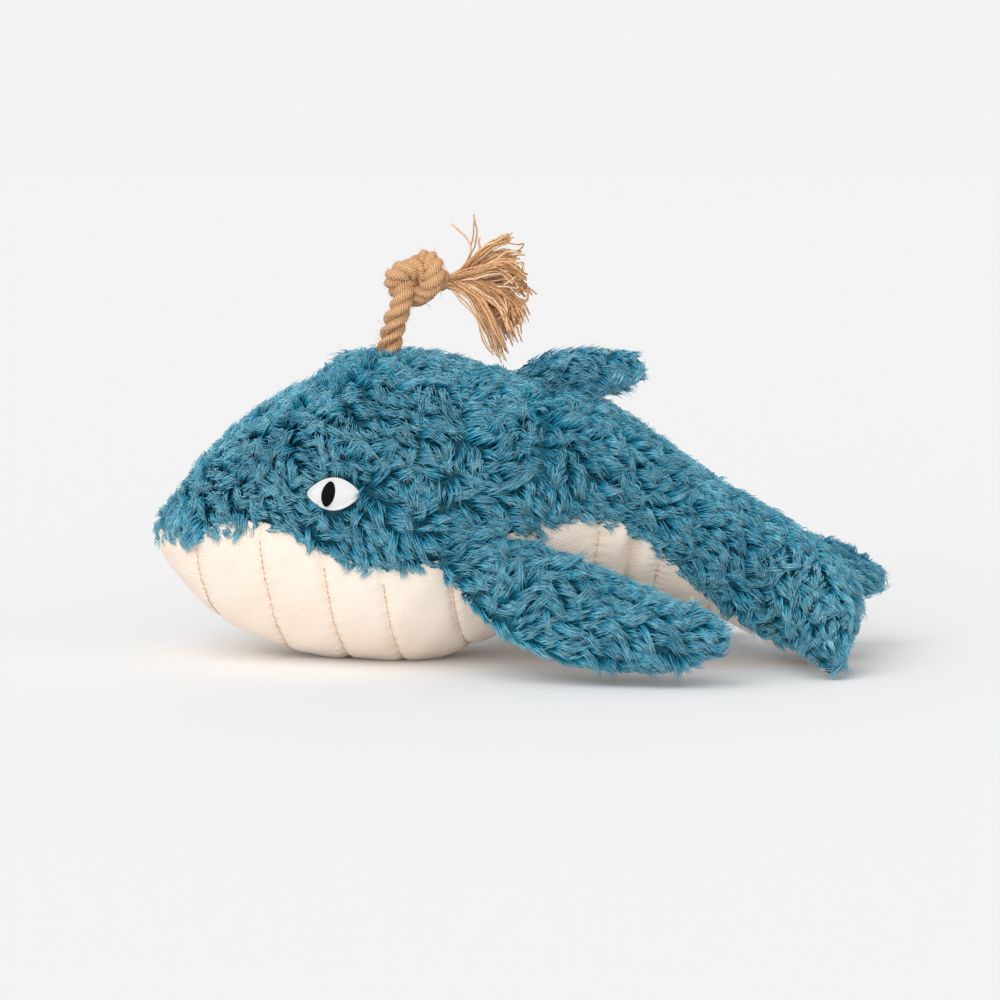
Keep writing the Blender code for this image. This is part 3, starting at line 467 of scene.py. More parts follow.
at = random.integers(8, rope_rings - 4, fuzz_count)
angle = random.uniform(0, 2 * math.pi, fuzz_count)[:, None]
out = rope_first[at] * np.cos(angle) + rope_second[at] * np.sin(angle)
along = np.gradient(rope_points, axis=0)[at]
start = rope_points[at] + out * (rope_radii[at] * 0.90)[:, None]
long = random.uniform(0.0012, 0.0042, fuzz_count)[:, None]
way = unit(unit(along) * random.normal(0, 1.0, (fuzz_count, 1)) + out * random.uniform(0.15, 0.7, (fuzz_count, 1)))
knots = np.stack([start, start + way * long * 0.4, start + way * long * 0.75 + out * long * 0.12, start + way * long
                  + random.normal(0, 0.0005, (fuzz_count, 3))], axis=1)
fuzz = strand_mesh(
    "jute_fuzz", bent_path(knots, np.linspace(0, 1, 5)), np.tile(np.array((0.9, 1, 0.9, 0.7, 0.3)) * 0.00009, (fuzz_count, 1)), 3,
    unit(np.cross(way, out)) + 0.01, np.clip(random.normal(0.7, 0.15, fuzz_count), 0, 1),
)

jute_yarn, tree, shader = new_material("jute_yarn", 0.8, Specular_IOR_Level=0.12, Sheen_Weight=0.04)
own = add_node(tree, "ShaderNodeUVMap", uv_map="strand")
split = add_node(tree, "ShaderNodeSeparateXYZ", {0: own.outputs["UV"]})
where = add_node(tree, "ShaderNodeTexCoord")
fibre = add_node(
    tree, "ShaderNodeTexNoise", {"Vector": where.outputs["Object"], "Scale": 1400.0, "Detail": 2.0}
)
uneven = add_node(
    tree, "ShaderNodeMapRange",
    {"Value": fibre.outputs["Fac"], "From Min": 0.3, "From Max": 0.7, "To Min": -0.25, "To Max": 0.25},
)
toned = add_node(tree, "ShaderNodeMath", {0: split.outputs["X"], 1: uneven.outputs[0]}, operation="ADD")
ramp = add_node(tree, "ShaderNodeValToRGB", {"Fac": toned.outputs[0]})
ramp.color_ramp.elements[0].color = (0.380, 0.170, 0.060, 1)
ramp.color_ramp.elements[1].color = (0.980, 0.720, 0.480, 1)
middle_tone = ramp.color_ramp.elements.new(0.5)
middle_tone.color = (0.720, 0.420, 0.215, 1)
tree.links.new(ramp.outputs["Color"], shader.inputs["Base Color"])
bump = add_node(tree, "ShaderNodeBump", {"Height": fibre.outputs["Fac"], "Strength": 0.5, "Distance": 0.00012})
tree.links.new(bump.outputs["Normal"], shader.inputs["Normal"])
for piece, body in ((tassel, "tassel"), (fuzz, "spout")):
    piece.data.materials.append(jute_yarn)
    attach(piece, body)
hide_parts("tassel")

# The body under the pile: a stuffed bag of knitted backing, dark blue where it shows between the locks. It
# is sewn from a left and a right back panel, swells at the head and tapers and sinks towards the tail.
body_length = 0.298
body_height = 0.1325
body_width = 0.120
nose_x = -0.1535
body_shares = np.array((
    (0.000, 0.388, 0.402, 0.04),
    (0.012, 0.325, 0.475, 0.27),
    (0.034, 0.262, 0.545, 0.43),
    (0.075, 0.160, 0.665, 0.63),
    (0.140, 0.080, 0.800, 0.81),
    (0.205, 0.032, 0.885, 0.91),
    (0.292, 0.006, 0.958, 0.98),
    (0.379, 0.006, 0.958, 1.00),
    (0.465, 0.070, 0.912, 0.95),
    (0.552, 0.168, 0.862, 0.83),
    (0.639, 0.222, 0.795, 0.70),
    (0.725, 0.226, 0.672, 0.59),
    (0.812, 0.164, 0.535, 0.52),
    (0.899, 0.064, 0.425, 0.47),
    (0.965, 0.045, 0.310, 0.40),
    (0.990, 0.080, 0.240, 0.28),
    (1.000, 0.140, 0.165, 0.04),
))
seam_shares = np.array((
    (0.00, -0.16), (0.08, -0.08), (0.14, -0.02), (0.20, -0.08), (0.26, -0.24), (0.33, -0.36), (0.40, -0.36),
    (0.47, -0.33), (0.55, -0.24), (0.64, -0.15), (0.70, -0.24), (0.76, -0.52), (0.82, -0.76), (0.90, -0.88),
    (1.00, -0.86),
))
backing_lift = 0.0002
backing_recess = 0.005
sink_of_head = 0.0050
sink_end = -0.070
sink_run = 0.022


def section(x):
    """The lowest and highest point of the skin, and its half width, at places along the body."""
    share = (np.asarray(x, float) - nose_x) / body_length
    low, high, wide = (smooth(body_shares[:, 0], body_shares[:, k], share) for k in (1, 2, 3))
    return low * body_height, high * body_height, wide * body_width / 2


def seam_angle(x):
    """The angle at which the plush meets the canvas, from -90 degrees on the belly to 90 on the back."""
    share = (np.asarray(x, float) - nose_x) / body_length
    return np.arcsin(smooth(seam_shares[:, 0], seam_shares[:, 1], share))


def body_point(x, angle):
    """A point of the body's skin. The angle runs from the right side over the back to the left side."""
    low, high, wide = section(x)
    middle, tall = (low + high) / 2, (high - low) / 2
    return np.stack([x + 0 * angle, wide * np.cos(angle), middle + tall * np.sin(angle)], axis=-1)


def normals_of(surface, u, v, small_u, small_v, inside):
    """The directions out of a surface, away from the points inside it."""
    across_u = surface(u + small_u, v) - surface(u - small_u, v)
    across_v = surface(u, v + small_v) - surface(u, v - small_v)
    out = unit(np.cross(across_u, across_v))
    turned = np.sum(out * (surface(u, v) - inside), axis=-1) < 0
    out[turned] *= -1
    return out


def body_normal(x, angle):
    low, high, wide = section(x)
    inside = np.stack([x + 0 * angle, 0 * angle, (low + high) / 2 + 0 * angle], axis=-1)
    return normals_of(body_point, x, angle, 0.0008, 0.01, inside)


def shaped_ball(name, around, along, shape):
    """A ball whose pole to pole line runs along a form, with each point moved to the form's own place.
    The shape takes the share of the way from pole to pole and the angle round the line."""
    nothing_selected()
    bpy.ops.mesh.primitive_uv_sphere_add(segments=around, ring_count=along, radius=1)
    ball = bpy.context.object
    ball.name = name
    points = np.array([vert.co for vert in ball.data.vertices])
    share = np.arccos(np.clip(points[:, 2], -1, 1)) / math.pi
    set_points(ball, shape(share, np.arctan2(points[:, 1], points[:, 0])))
    finish_mesh(ball)
    return ball


def head_sink(x, normals):
    """How far the fabric is drawn in over the top of the head, whose outline under the pile is flatter."""
    low, high, wide = section(x)
    upward = np.clip(normals[..., 2] * 1.2, 0, 1)
    return np.minimum(sink_of_head * upward * np.clip((sink_end - x) / sink_run, 0, 1), (high - low) * 0.2)


def body_form(share, angle):
    x = nose_x + np.clip(share, 0.0005, 0.9995) * body_length
    normals = body_normal(x, angle)
    over_canvas = np.clip((np.sin(angle) - np.sin(seam_angle(x))) / 0.10, 0, 1)
    low, high, wide = section(x)
    under_canvas = np.minimum(backing_recess, (high - low) * 0.2)
    lift = (backing_lift - head_sink(x, normals)) * over_canvas - under_canvas * (1 - over_canvas)
    return body_point(x, angle) + normals * lift[:, None]


backing_blue, tree, shader = new_material("backing_blue", 1.0, Specular_IOR_Level=0.1)
where = add_node(tree, "ShaderNodeTexCoord")
knit = add_node(tree, "ShaderNodeTexNoise", {"Vector": where.outputs["Object"], "Scale": 700.0, "Detail": 2.0})
ramp = add_node(tree, "ShaderNodeValToRGB", {"Fac": knit.outputs["Fac"]})
ramp.color_ramp.elements[0].color = (0.012, 0.080, 0.115, 1)
ramp.color_ramp.elements[1].color = (0.040, 0.170, 0.230, 1)
tree.links.new(ramp.outputs["Color"], shader.inputs["Base Color"])

body = shaped_ball("body_backing", 72, 96, body_form)
body.data.materials.append(backing_blue)
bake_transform(body)
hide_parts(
    "trunk_stuffing", "tail_stuffing", "trunk_back_panel_left", "trunk_back_panel_right",
    "tail_back_panel_left", "tail_back_panel_right",
)

# The belly: one panel of cream cotton canvas in a plain weave, sewn to the plush along both sides from the
# nose to the end of the tail, and topstitched across in tan thread, which draws it in to soft channels.
canvas_thickness = 0.0016
# Each line of topstitching: where it starts at the seam, and how far it leans back on its way down
topstitch_lines = np.array((
    (-0.1318, 0.15),
    (-0.1015, 0.10),
    (-0.0738, 0.08),
    (-0.0488, 0.06),
    (-0.0210, 0.04),
    (0.0110, -0.04),
    (0.0405, -0.20),
    (0.0650, -0.26),
    (0.0860, -0.26),
    (0.1060, -0.20),
    (0.1260, -0.10),
))
channel_half = 0.013
stitch_dent = 0.0010
channel_swell = 0.0008
fold_x = 0.0545
fold_lean = -0.24
fold_depth = 0.0036
fold_width = 0.0020
tuck_under = 0.0055
weave_pitch = 0.00176
canvas_rows = 460
canvas_columns = 120


def line_offset(x, angle, lines):
    """How far a place is from the nearest of some leaning lines, measured along the body."""
    below = np.maximum(body_point(x, seam_angle(x))[..., 2] - body_point(x, angle)[..., 2], 0)
    off = x[..., None] - lines[:, 0] - lines[:, 1] * below[..., None]
    return np.take_along_axis(off, np.abs(off).argmin(axis=-1)[..., None], axis=-1)[..., 0]


def canvas_point(x, angle):
    """The outer face of the belly, which lies flat where it meets the floor."""
    offset = line_offset(x, angle, topstitch_lines)
    lift = canvas_thickness + channel_swell * (1 - (1 - np.minimum(np.abs(offset) / channel_half, 1)) ** 3)
    lift = lift - stitch_dent * np.exp(-((offset / 0.0017) ** 2))
    lift = lift + 0.00025 * np.sin(angle * 52 + x * 260) * np.exp(-((offset / 0.0045) ** 2))
    lift = lift + 0.00040 * np.sin(angle * 9 + x * 71) * np.sin(x * 190 + angle * 3)
    fold = line_offset(x, angle, np.array(((fold_x, fold_lean),)))
    lift = lift - fold_depth * np.exp(-((fold / fold_width) ** 2))
    lift = lift + 0.0012 * np.exp(-(((np.abs(fold) - 0.0055) / 0.003) ** 2))
    points = body_point(x, angle) + body_normal(x, angle) * lift[..., None]
    points[..., 2] = np.maximum(points[..., 2], 0.0)
    return points


end_opening = 0.06
end_rows = 3


def belly_place(along_share, across_share):
    x = nose_x + (0.0006 + 0.9988 * along_share) * body_length
    low, high, wide = section(x)
    seam = seam_angle(x) + tuck_under / ((high - low) / 4 + wide / 2)
    left = -math.pi - seam
    return x, left + (seam - left) * across_share


def set_uv(piece, name, values):
    """A UV map from one pair of values for each vertex."""
    layer = piece.data.uv_layers.new(name=name)
    corner = np.empty(len(piece.data.loops), dtype=np.int32)
    piece.data.loops.foreach_get("vertex_index", corner)
    layer.data.foreach_set("uv", np.ascontiguousarray(values[corner], dtype=np.float32).ravel())


def face_away(piece, inside):
    """Turn a sheet's faces so that they point away from a point."""
    middle = Vector(inside)
    votes = sum((face.center - middle).dot(face.normal) * face.area for face in piece.data.polygons)
    if votes < 0:
        piece.data.flip_normals()


def give_wall(piece, thickness):
    """Give a sheet its thickness on its inner side."""
    nothing_selected()
    piece.select_set(True)
    bpy.context.view_layer.objects.active = piece
    wall = piece.modifiers.new("thickness", "SOLIDIFY")
    wall.thickness = thickness
    wall.offset = -1
    bpy.ops.object.modifier_apply(modifier=wall.name)
    bpy.ops.object.shade_smooth()


def thread_map(piece, surface):
    """The map weave, in metres along the warp and the weft, from a grid's two shares."""
    flat_u = np.linspace(0, 1, 400)
    run = run_of(surface(flat_u, np.full(400, 0.5)))
    layer = piece.data.uv_layers["UVMap"]
    values = np.empty(len(piece.data.loops) * 2, dtype=np.float32)
    layer.data.foreach_get("uv", values)
    values = values.reshape(-1, 2)
    across = np.linspace(0, 1, 60)
    widths = np.array([run_of(surface(np.full(60, u), across))[-1] for u in flat_u[::10]])
    wide = np.interp(values[:, 0], flat_u[::10], widths)
    woven = np.stack([np.interp(values[:, 0], flat_u, run), (values[:, 1] - 0.5) * wide], axis=1)
    piece.data.uv_layers.new(name="weave").data.foreach_set("uv", woven.astype(np.float32).ravel())


def belly_form(along_share, across_share):
    """The belly's outer face, drawn together at the tip of the nose and at the end of the tail."""
    x, angle = belly_place(along_share, across_share)
    low, high, wide = section(x)
    middle = np.stack([x, 0 * x, (low + high) / 2], axis=-1)
    from_end = np.minimum(along_share, 1 - along_share)
    closing = np.clip(end_opening + from_end * canvas_rows / end_rows, 0, 1)[..., None]
    return middle + (canvas_point(x, angle) - middle) * closing


belly = shaped_grid("belly_canvas", canvas_rows, canvas_columns, belly_form)
thread_map(belly, belly_form)
face_away(belly, (-0.03, 0.0, 0.06))
give_wall(belly, 0.0012)

canvas_cream, tree, shader = new_material("canvas_cream", 0.92, Specular_IOR_Level=0.15, Sheen_Weight=0.12)
grain = add_node(tree, "ShaderNodeUVMap", uv_map="weave")
split = add_node(tree, "ShaderNodeSeparateXYZ", {0: grain.outputs["UV"]})
waves = []
for axis in ("X", "Y"):
    turns = add_node(
        tree, "ShaderNodeMath", {0: split.outputs[axis], 1: 2 * math.pi / weave_pitch}, operation="MULTIPLY"
    )
    waves.append(add_node(tree, "ShaderNodeMath", {0: turns.outputs[0]}, operation="SINE"))
over_under = add_node(
    tree, "ShaderNodeMath", {0: waves[0].outputs[0], 1: waves[1].outputs[0]}, operation="MULTIPLY"
)
where = add_node(tree, "ShaderNodeTexCoord")
slub = add_node(
    tree, "ShaderNodeTexNoise", {"Vector": where.outputs["Object"], "Scale": 900.0, "Detail": 3.0}
)
height_sum = add_node(
    tree, "ShaderNodeMath", {0: over_under.outputs[0], 1: slub.outputs["Fac"]}, operation="ADD"
)
shade = add_node(tree, "ShaderNodeMapRange", {"Value": height_sum.outputs[0], "From Min": -0.5, "From Max": 1.5})
# Painted shade: the weave is darker where its threads dip under, by the same height as the bump; the slub noise
# gives the thread its own uneven tone
ramp = add_node(tree, "ShaderNodeValToRGB", {"Fac": shade.outputs[0]})
ramp.color_ramp.elements[0].color = (0.96, 0.82, 0.70, 1)
ramp.color_ramp.elements[1].color = (1.00, 0.89, 0.80, 1)
soil = add_node(
    tree, "ShaderNodeTexNoise", {"Vector": where.outputs["Object"], "Scale": 26.0, "Detail": 4.0}
)
soil_ramp = add_node(tree, "ShaderNodeValToRGB", {"Fac": soil.outputs["Fac"]})
soil_ramp.color_ramp.elements[0].position = 0.35
soil_ramp.color_ramp.elements[0].color = (0.95, 0.92, 0.88, 1)
soil_ramp.color_ramp.elements[1].position = 0.65
soil_ramp.color_ramp.elements[1].color = (1, 1, 1, 1)
soiled = add_node(
    tree, "ShaderNodeMix", {0: 1.0, 6: ramp.outputs["Color"], 7: soil_ramp.outputs["Color"]},
    data_type="RGBA", blend_type="MULTIPLY",
)
tree.links.new(soiled.outputs[2], shader.inputs["Base Color"])
bump = add_node(tree, "ShaderNodeBump", {"Height": height_sum.outputs[0], "Strength": 0.55, "Distance": 0.00022})
tree.links.new(bump.outputs["Normal"], shader.inputs["Normal"])
belly.data.materials.append(canvas_cream)
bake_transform(belly)
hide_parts("trunk_belly_panel", "tail_belly_panel")

# The topstitching: single stitches of tan cotton thread that lie in the dents they pull, each one going in
# and coming out of the canvas, in a line across the belly from seam to seam.
stitch_pitch = 0.0027
stitch_length = 0.0021
thread_radius = 0.00029

stitch_paths, stitch_ways = [], []
for start_x, lean in topstitch_lines:
    low, high, wide = section(start_x)
    seam = float(seam_angle(np.array(start_x)))
    angles = np.linspace(seam, -math.pi - seam, 400)
    below = np.maximum(body_point(np.full(400, start_x), np.full(400, seam))[:, 2]
                       - body_point(np.full(400, start_x), angles)[:, 2], 0)
    xs = np.clip(start_x + lean * below, nose_x + 0.004, nose_x + body_length - 0.004)
    line, out = canvas_point(xs, angles), body_normal(xs, angles)
    run = run_of(line)
    for middle in np.arange(stitch_pitch, run[-1] - stitch_pitch / 2, stitch_pitch):
        ends = middle + stitch_length * np.array((-0.54, -0.50, -0.30, 0.0, 0.30, 0.50, 0.54))
        at = np.stack([np.interp(ends, run, line[:, k]) for k in range(3)], axis=1)
        up = np.array([np.interp(middle, run, out[:, k]) for k in range(3)])
        lift = np.array((-0.00035, -0.00005, 0.00026, 0.00034, 0.00026, -0.00005, -0.00035))
        stitch_paths.append(at + up * lift[:, None])
        stitch_ways.append(unit(np.cross(at[-1] - at[0], up)))
stitch_paths = np.array(stitch_paths)
stitch_paths[..., 2] = np.maximum(stitch_paths[..., 2], 0.0002)
random = np.random.default_rng(7)
stitches = strand_mesh(
    "belly_topstitching", stitch_paths,
    np.tile(np.array((0.3, 0.75, 1.0, 1.05, 1.0, 0.75, 0.3)) * thread_radius, (len(stitch_paths), 1)), 6,
    np.array(stitch_ways), np.clip(random.normal(0.5, 0.18, len(stitch_paths)), 0, 1),
)
tan_thread, tree, shader = new_material("tan_thread", 0.6, Specular_IOR_Level=0.3, Sheen_Weight=0.1)
own = add_node(tree, "ShaderNodeUVMap", uv_map="strand")
split = add_node(tree, "ShaderNodeSeparateXYZ", {0: own.outputs["UV"]})
where = add_node(tree, "ShaderNodeTexCoord")
ply = add_node(tree, "ShaderNodeTexNoise", {"Vector": where.outputs["Object"], "Scale": 2500.0, "Detail": 1.0})
toned = add_node(tree, "ShaderNodeMath", {0: split.outputs["X"], 1: ply.outputs["Fac"]}, operation="MULTIPLY")
ramp = add_node(tree, "ShaderNodeValToRGB", {"Fac": toned.outputs[0]})
ramp.color_ramp.elements[0].color = (0.62, 0.40, 0.23, 1)
ramp.color_ramp.elements[1].position = 0.55
ramp.color_ramp.elements[1].color = (0.92, 0.70, 0.49, 1)
tree.links.new(ramp.outputs["Color"], shader.inputs["Base Color"])
bump = add_node(tree, "ShaderNodeBump", {"Height": ply.outputs["Fac"], "Strength": 0.4, "Distance": 0.0001})
tree.links.new(bump.outputs["Normal"], shader.inputs["Normal"])
stitches.data.materials.append(tan_thread)
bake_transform(stitches)

# The eyes: on each side of the head an almond of white satin stitch with a raised border of the same thread,
# and an upright black oval stitched over it, sunk a little way into the pile.
eye_x = -0.0678
eye_length = 0.0228
eye_height = 0.0138
eye_seam_share = 0.18
eye_raise = 0.0040
eye_point_share = 0.42
eye_tilt_deg = -5
eye_dome = 0.0016
border_radius = 0.00070
pupil_length = 0.0058
pupil_height = 0.0108
pupil_forward = 0.0018
pupil_tilt_deg = -16
pupil_point_share = 0.18
satin_pitch = 0.00042


def eye_frame(side, tilt_deg, forward, raised):
    """The middle of an eye and its directions: back along the body, up, and out of it."""
    angle = np.array(math.asin(eye_seam_share))
    here = body_point(np.array(eye_x), angle)
    along = unit(body_point(np.array(eye_x + 0.001), angle) - here)
    up = unit(body_point(np.array(eye_x), angle + 0.017) - here)
    out = -np.cross(along, up)
    up = -np.cross(out, along)
    tilt = math.radians(tilt_deg)
    middle = here + out * raised - along * forward
    along, up = along * math.cos(tilt) + up * math.sin(tilt), up * math.cos(tilt) - along * math.sin(tilt)
    mirror = np.array((1, side, 1))
    return middle * mirror, along * mirror, up * mirror, out * mirror


def stitched_pad(name, place, length, high, thick, dome, pointed):
    """A pad of satin stitch with an almond or oval outline, domed, and with its own map in metres."""
    middle, along, up, out = place
    kept = []

    def form(share, angle):
        rho = np.sin(math.pi * share) ** 0.55
        lift = np.sign(np.cos(math.pi * share)) * np.abs(np.cos(math.pi * share)) ** 0.6 * thick / 2
        lift = lift + dome * (1 - rho * rho)
        flat_x = np.cos(angle) * length / 2 * rho
        flat_y = np.sin(angle) * (1 - pointed * np.cos(angle) ** 2) * high / 2 * rho
        kept.append(np.stack([flat_x, flat_y], axis=1))
        return middle + along * flat_x[:, None] + up * flat_y[:, None] + out * lift[:, None]

    pad = shaped_ball(name, 96, 40, form)
    set_uv(pad, "thread", kept[0])
    return pad


def almond_border(name, place, length, high, pointed, radius, lift):
    """A round cord of satin stitch along an outline."""
    middle, along, up, out = place

    def form(along_share, around_share):
        angle, turn = 2 * math.pi * along_share, 2 * math.pi * around_share

        def edge(a):
            return (
                np.cos(a) * length / 2,
                np.sin(a) * (1 - pointed * np.cos(a) ** 2) * high / 2,
            )

        x, y = edge(angle)
        ahead_x, ahead_y = edge(angle + 0.01)
        way = unit(np.stack([ahead_x - x, ahead_y - y], axis=1))
        x = x + way[:, 1] * np.cos(turn) * radius
        y = y - way[:, 0] * np.cos(turn) * radius
        z = lift + np.sin(turn) * radius * 0.75
        return middle + along * x[:, None] + up * y[:, None] + out * z[:, None]

    border = shaped_grid(name, 160, 12, form)
    finish_mesh(border, doubles=0.000002)
    return border


def satin(name, dark, light, map_name, axis, repeats, roughness):
    """Satin stitch: fine parallel threads, along one axis of a map, with painted shade in the dips between the
    threads.
    """
    made, tree, shader = new_material(name, roughness, Specular_IOR_Level=0.05)
    lie = add_node(tree, "ShaderNodeUVMap", uv_map=map_name)
    split = add_node(tree, "ShaderNodeSeparateXYZ", {0: lie.outputs["UV"]})
    where = add_node(tree, "ShaderNodeTexCoord")
    wander = add_node(
        tree, "ShaderNodeTexNoise", {"Vector": where.outputs["Object"], "Scale": 400.0, "Detail": 2.0}
    )
    turns = add_node(
        tree, "ShaderNodeMath", {0: split.outputs[axis], 1: 2 * math.pi * repeats}, operation="MULTIPLY"
    )
    loose = add_node(tree, "ShaderNodeMath", {0: wander.outputs["Fac"], 1: 3.0}, operation="MULTIPLY")
    phase = add_node(tree, "ShaderNodeMath", {0: turns.outputs[0], 1: loose.outputs[0]}, operation="ADD")
    wave = add_node(tree, "ShaderNodeMath", {0: phase.outputs[0]}, operation="SINE")
    # Painted shade: the thread is darker between its lines and lighter on their crowns, by the same wave as the bump
    shade = add_node(tree, "ShaderNodeMapRange", {"Value": wave.outputs[0], "From Min": -1.0, "From Max": 0.4})
    ramp = add_node(tree, "ShaderNodeValToRGB", {"Fac": shade.outputs[0]})
    ramp.color_ramp.elements[0].color = (*dark, 1)
    ramp.color_ramp.elements[1].color = (*light, 1)
    tree.links.new(ramp.outputs["Color"], shader.inputs["Base Color"])
    bump = add_node(tree, "ShaderNodeBump", {"Height": wave.outputs[0], "Strength": 0.6, "Distance": 0.00010})
    tree.links.new(bump.outputs["Normal"], shader.inputs["Normal"])
    return made


eye_satin = satin("eye_satin", (0.66, 0.65, 0.64), (0.88, 0.875, 0.87), "thread", "X", 1 / satin_pitch, 0.5)
border_satin = satin("border_satin", (0.68, 0.67, 0.66), (0.88, 0.875, 0.87), "UVMap", "X", 150, 0.5)
pupil_satin = satin("pupil_satin", (0.001, 0.001, 0.001), (0.007, 0.006, 0.006), "thread", "Y", 1 / satin_pitch, 0.5)
for side_name, side in (("left", -1), ("right", 1)):
    place = eye_frame(side, eye_tilt_deg, 0, eye_raise)
    patch = stitched_pad(
        f"eye_{side_name}", place, eye_length - 0.001, eye_height - 0.001, 0.0016, eye_dome, eye_point_share
    )
    patch.data.materials.append(eye_satin)
    border = almond_border(
        f"eye_border_{side_name}", place, eye_length - border_radius * 2, eye_height - border_radius * 2,
        eye_point_share, border_radius, 0.0006,
    )
    border.data.materials.append(border_satin)
    over = eye_frame(side, pupil_tilt_deg, pupil_forward, eye_raise + eye_dome + 0.0006)
    upright = (over[0], over[2], -over[1], over[3])
    pupil = stitched_pad(
        f"eye_pupil_{side_name}", upright, pupil_height, pupil_length, 0.0013, 0.0006, pupil_point_share
    )
    pupil.data.materials.append(pupil_satin)
    for piece, finish in ((patch, "eye_white"), (border, "eye_white"), (pupil, "pupil_black")):
        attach(piece, "trunk")
    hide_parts(f"eye_patch_{side_name}")
    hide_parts(f"pupil_{side_name}")

# The pile of the back: long, soft polyester fibre knitted into the backing and drawn together into small
# curved locks, which lie back and down in patches, with partings between them. Each strand carries
# painted shade at its root and a painted highlight at its tip.
lock_spacing = 0.0026
strands_in_lock = 9
lock_spread = 0.0021
locks_in_tuft = 3
tuft_reach = 0.0034
tuft_pull = 0.58
strand_radius = 0.00025
pile_height = 0.0062
lock_length = 0.0072
locks_in_piece = 1400
crease_x = 0.0155
crease_low = 0.070
crease_high = 0.117


def scatter(surface, u_range, v_edges, spacing, random):
    """Places on a surface at about even distances, in rows that are a little out of line."""
    fine = np.linspace(*u_range, 300)
    low, high = v_edges(fine)
    run = sum(run_of(surface(fine, low + (high - low) * share)) for share in (0.2, 0.5, 0.8)) / 3
    rows = np.interp(np.arange(spacing / 2, run[-1], spacing), run, fine)
    step = np.gradient(rows)
    found_u, found_v = [], []
    for number, u in enumerate(rows):
        low, high = v_edges(np.array([u]))
        across = np.linspace(low[0], high[0], 160)
        arc = run_of(surface(np.full(160, u), across))
        count = max(int(round(arc[-1] / spacing)), 1)
        at = (np.arange(count) + 0.25 + 0.5 * (number % 2)) / count * arc[-1]
        at = np.clip(at + random.uniform(-0.4, 0.4, count) * spacing, 0, arc[-1])
        found_v.append(np.interp(at, arc, across))
        found_u.append(np.clip(u + random.uniform(-0.4, 0.4, count) * step[number], *u_range))
    return np.concatenate(found_u), np.concatenate(found_v)


def wander(points, scale, seed):
    """A smooth random direction at each point."""
    return np.array([noise.noise_vector(Vector(point) * scale + Vector((seed, seed, 0))) for point in points])


def along_surface(directions, normals):
    return unit(directions - normals * np.sum(directions * normals, axis=1, keepdims=True))


def fur(points, normals, flow, length, height, random):
    """The paths, radii, square directions and tones of the strands of many locks. Each lock leans towards the
    nearest of some locks that lead, so that they draw together into tufts with dark gaps between them."""
    count = len(points)
    leaders = random.permutation(count)[: max(count // locks_in_tuft, 1)]
    tree = kdtree.KDTree(len(leaders))
    for number, leader in enumerate(leaders):
        tree.insert(points[leader], number)
    tree.balance()
    led_by = leaders[[tree.find(point)[1] for point in points]]
    towards = points[led_by] - points
    towards *= np.minimum(1, tuft_reach / np.maximum(np.linalg.norm(towards, axis=1), 1e-6))[:, None]
    flow = along_surface(flow[led_by] * 0.7 + flow * 0.3, normals)
    lock = np.repeat(np.arange(count), strands_in_lock)
    many = len(lock)
    base, out, lay = points[lock], normals[lock], flow[lock]
    side = np.cross(out, lay)
    turn = random.uniform(0, 2 * math.pi, many)
    set_out = lock_spread * np.sqrt(random.uniform(0, 1, many))
    ahead, aside = set_out * np.cos(turn), set_out * np.sin(turn)
    reach = length[lock] * random.uniform(0.60, 1.15, many)
    rise = height[lock] * random.uniform(0.78, 1.16, many)
    curl = random.normal(0, 0.45, count)[led_by][lock] * reach + random.normal(0, 0.00070, many)
    tip_rise = random.uniform(0.60, 1.15, count)[led_by][lock] + random.normal(0, 0.08, many)
    steps = np.array((0.0, 0.34, 0.68, 1.0))
    drawn = np.array((0.0, 0.30, 0.75, 1.0))
    lying = np.array((0.0, 0.12, 0.50, 1.0))
    curling = np.array((0.0, 0.04, 0.30, 1.0))
    rising = np.stack([np.zeros(many), np.full(many, 0.66), np.full(many, 1.0), tip_rise], axis=1)
    pull = 1 - 0.50 * steps ** 1.2
    run = ahead[:, None] * pull + reach[:, None] * lying
    across = aside[:, None] * pull + curl[:, None] * curling
    lift = rise[:, None] * rising - 0.0012
    paths = (
        base[:, None] + lay[:, None] * run[..., None] + side[:, None] * across[..., None]
        + out[:, None] * lift[..., None] + towards[lock][:, None] * (tuft_pull * drawn)[:, None]
    )
    paths[..., 2] = np.maximum(paths[..., 2], 0.0004)
    radii = strand_radius * random.uniform(0.8, 1.25, many)[:, None] * np.array((0.85, 1.0, 0.72, 0.0))
    patch = np.array([noise.noise(Vector(point) * 60) for point in points])
    uneven_tones = random.normal(0, 0.15, count)[led_by] + random.normal(0, 0.08, count)
    tones = 0.60 + 0.40 * patch[lock] + uneven_tones[lock] + random.normal(0, 0.09, many)
    return paths, radii, side, np.clip(tones, 0.01, 0.99)


fur_blue, tree, shader = new_material("fur_blue", 0.60, Specular_IOR_Level=0.10)
own = add_node(tree, "ShaderNodeUVMap", uv_map="strand")
split = add_node(tree, "ShaderNodeSeparateXYZ", {0: own.outputs["UV"]})
where = add_node(tree, "ShaderNodeTexCoord")
mottle = add_node(
    tree, "ShaderNodeTexNoise", {"Vector": where.outputs["Object"], "Scale": 320.0, "Detail": 2.0}
)
uneven = add_node(
    tree, "ShaderNodeMapRange",
    {"Value": mottle.outputs["Fac"], "From Min": 0.3, "From Max": 0.7, "To Min": -0.10, "To Max": 0.10},
)
shade_to_highlight_along = add_node(tree, "ShaderNodeMath", {0: split.outputs["Y"], 1: uneven.outputs[0]}, operation="ADD")
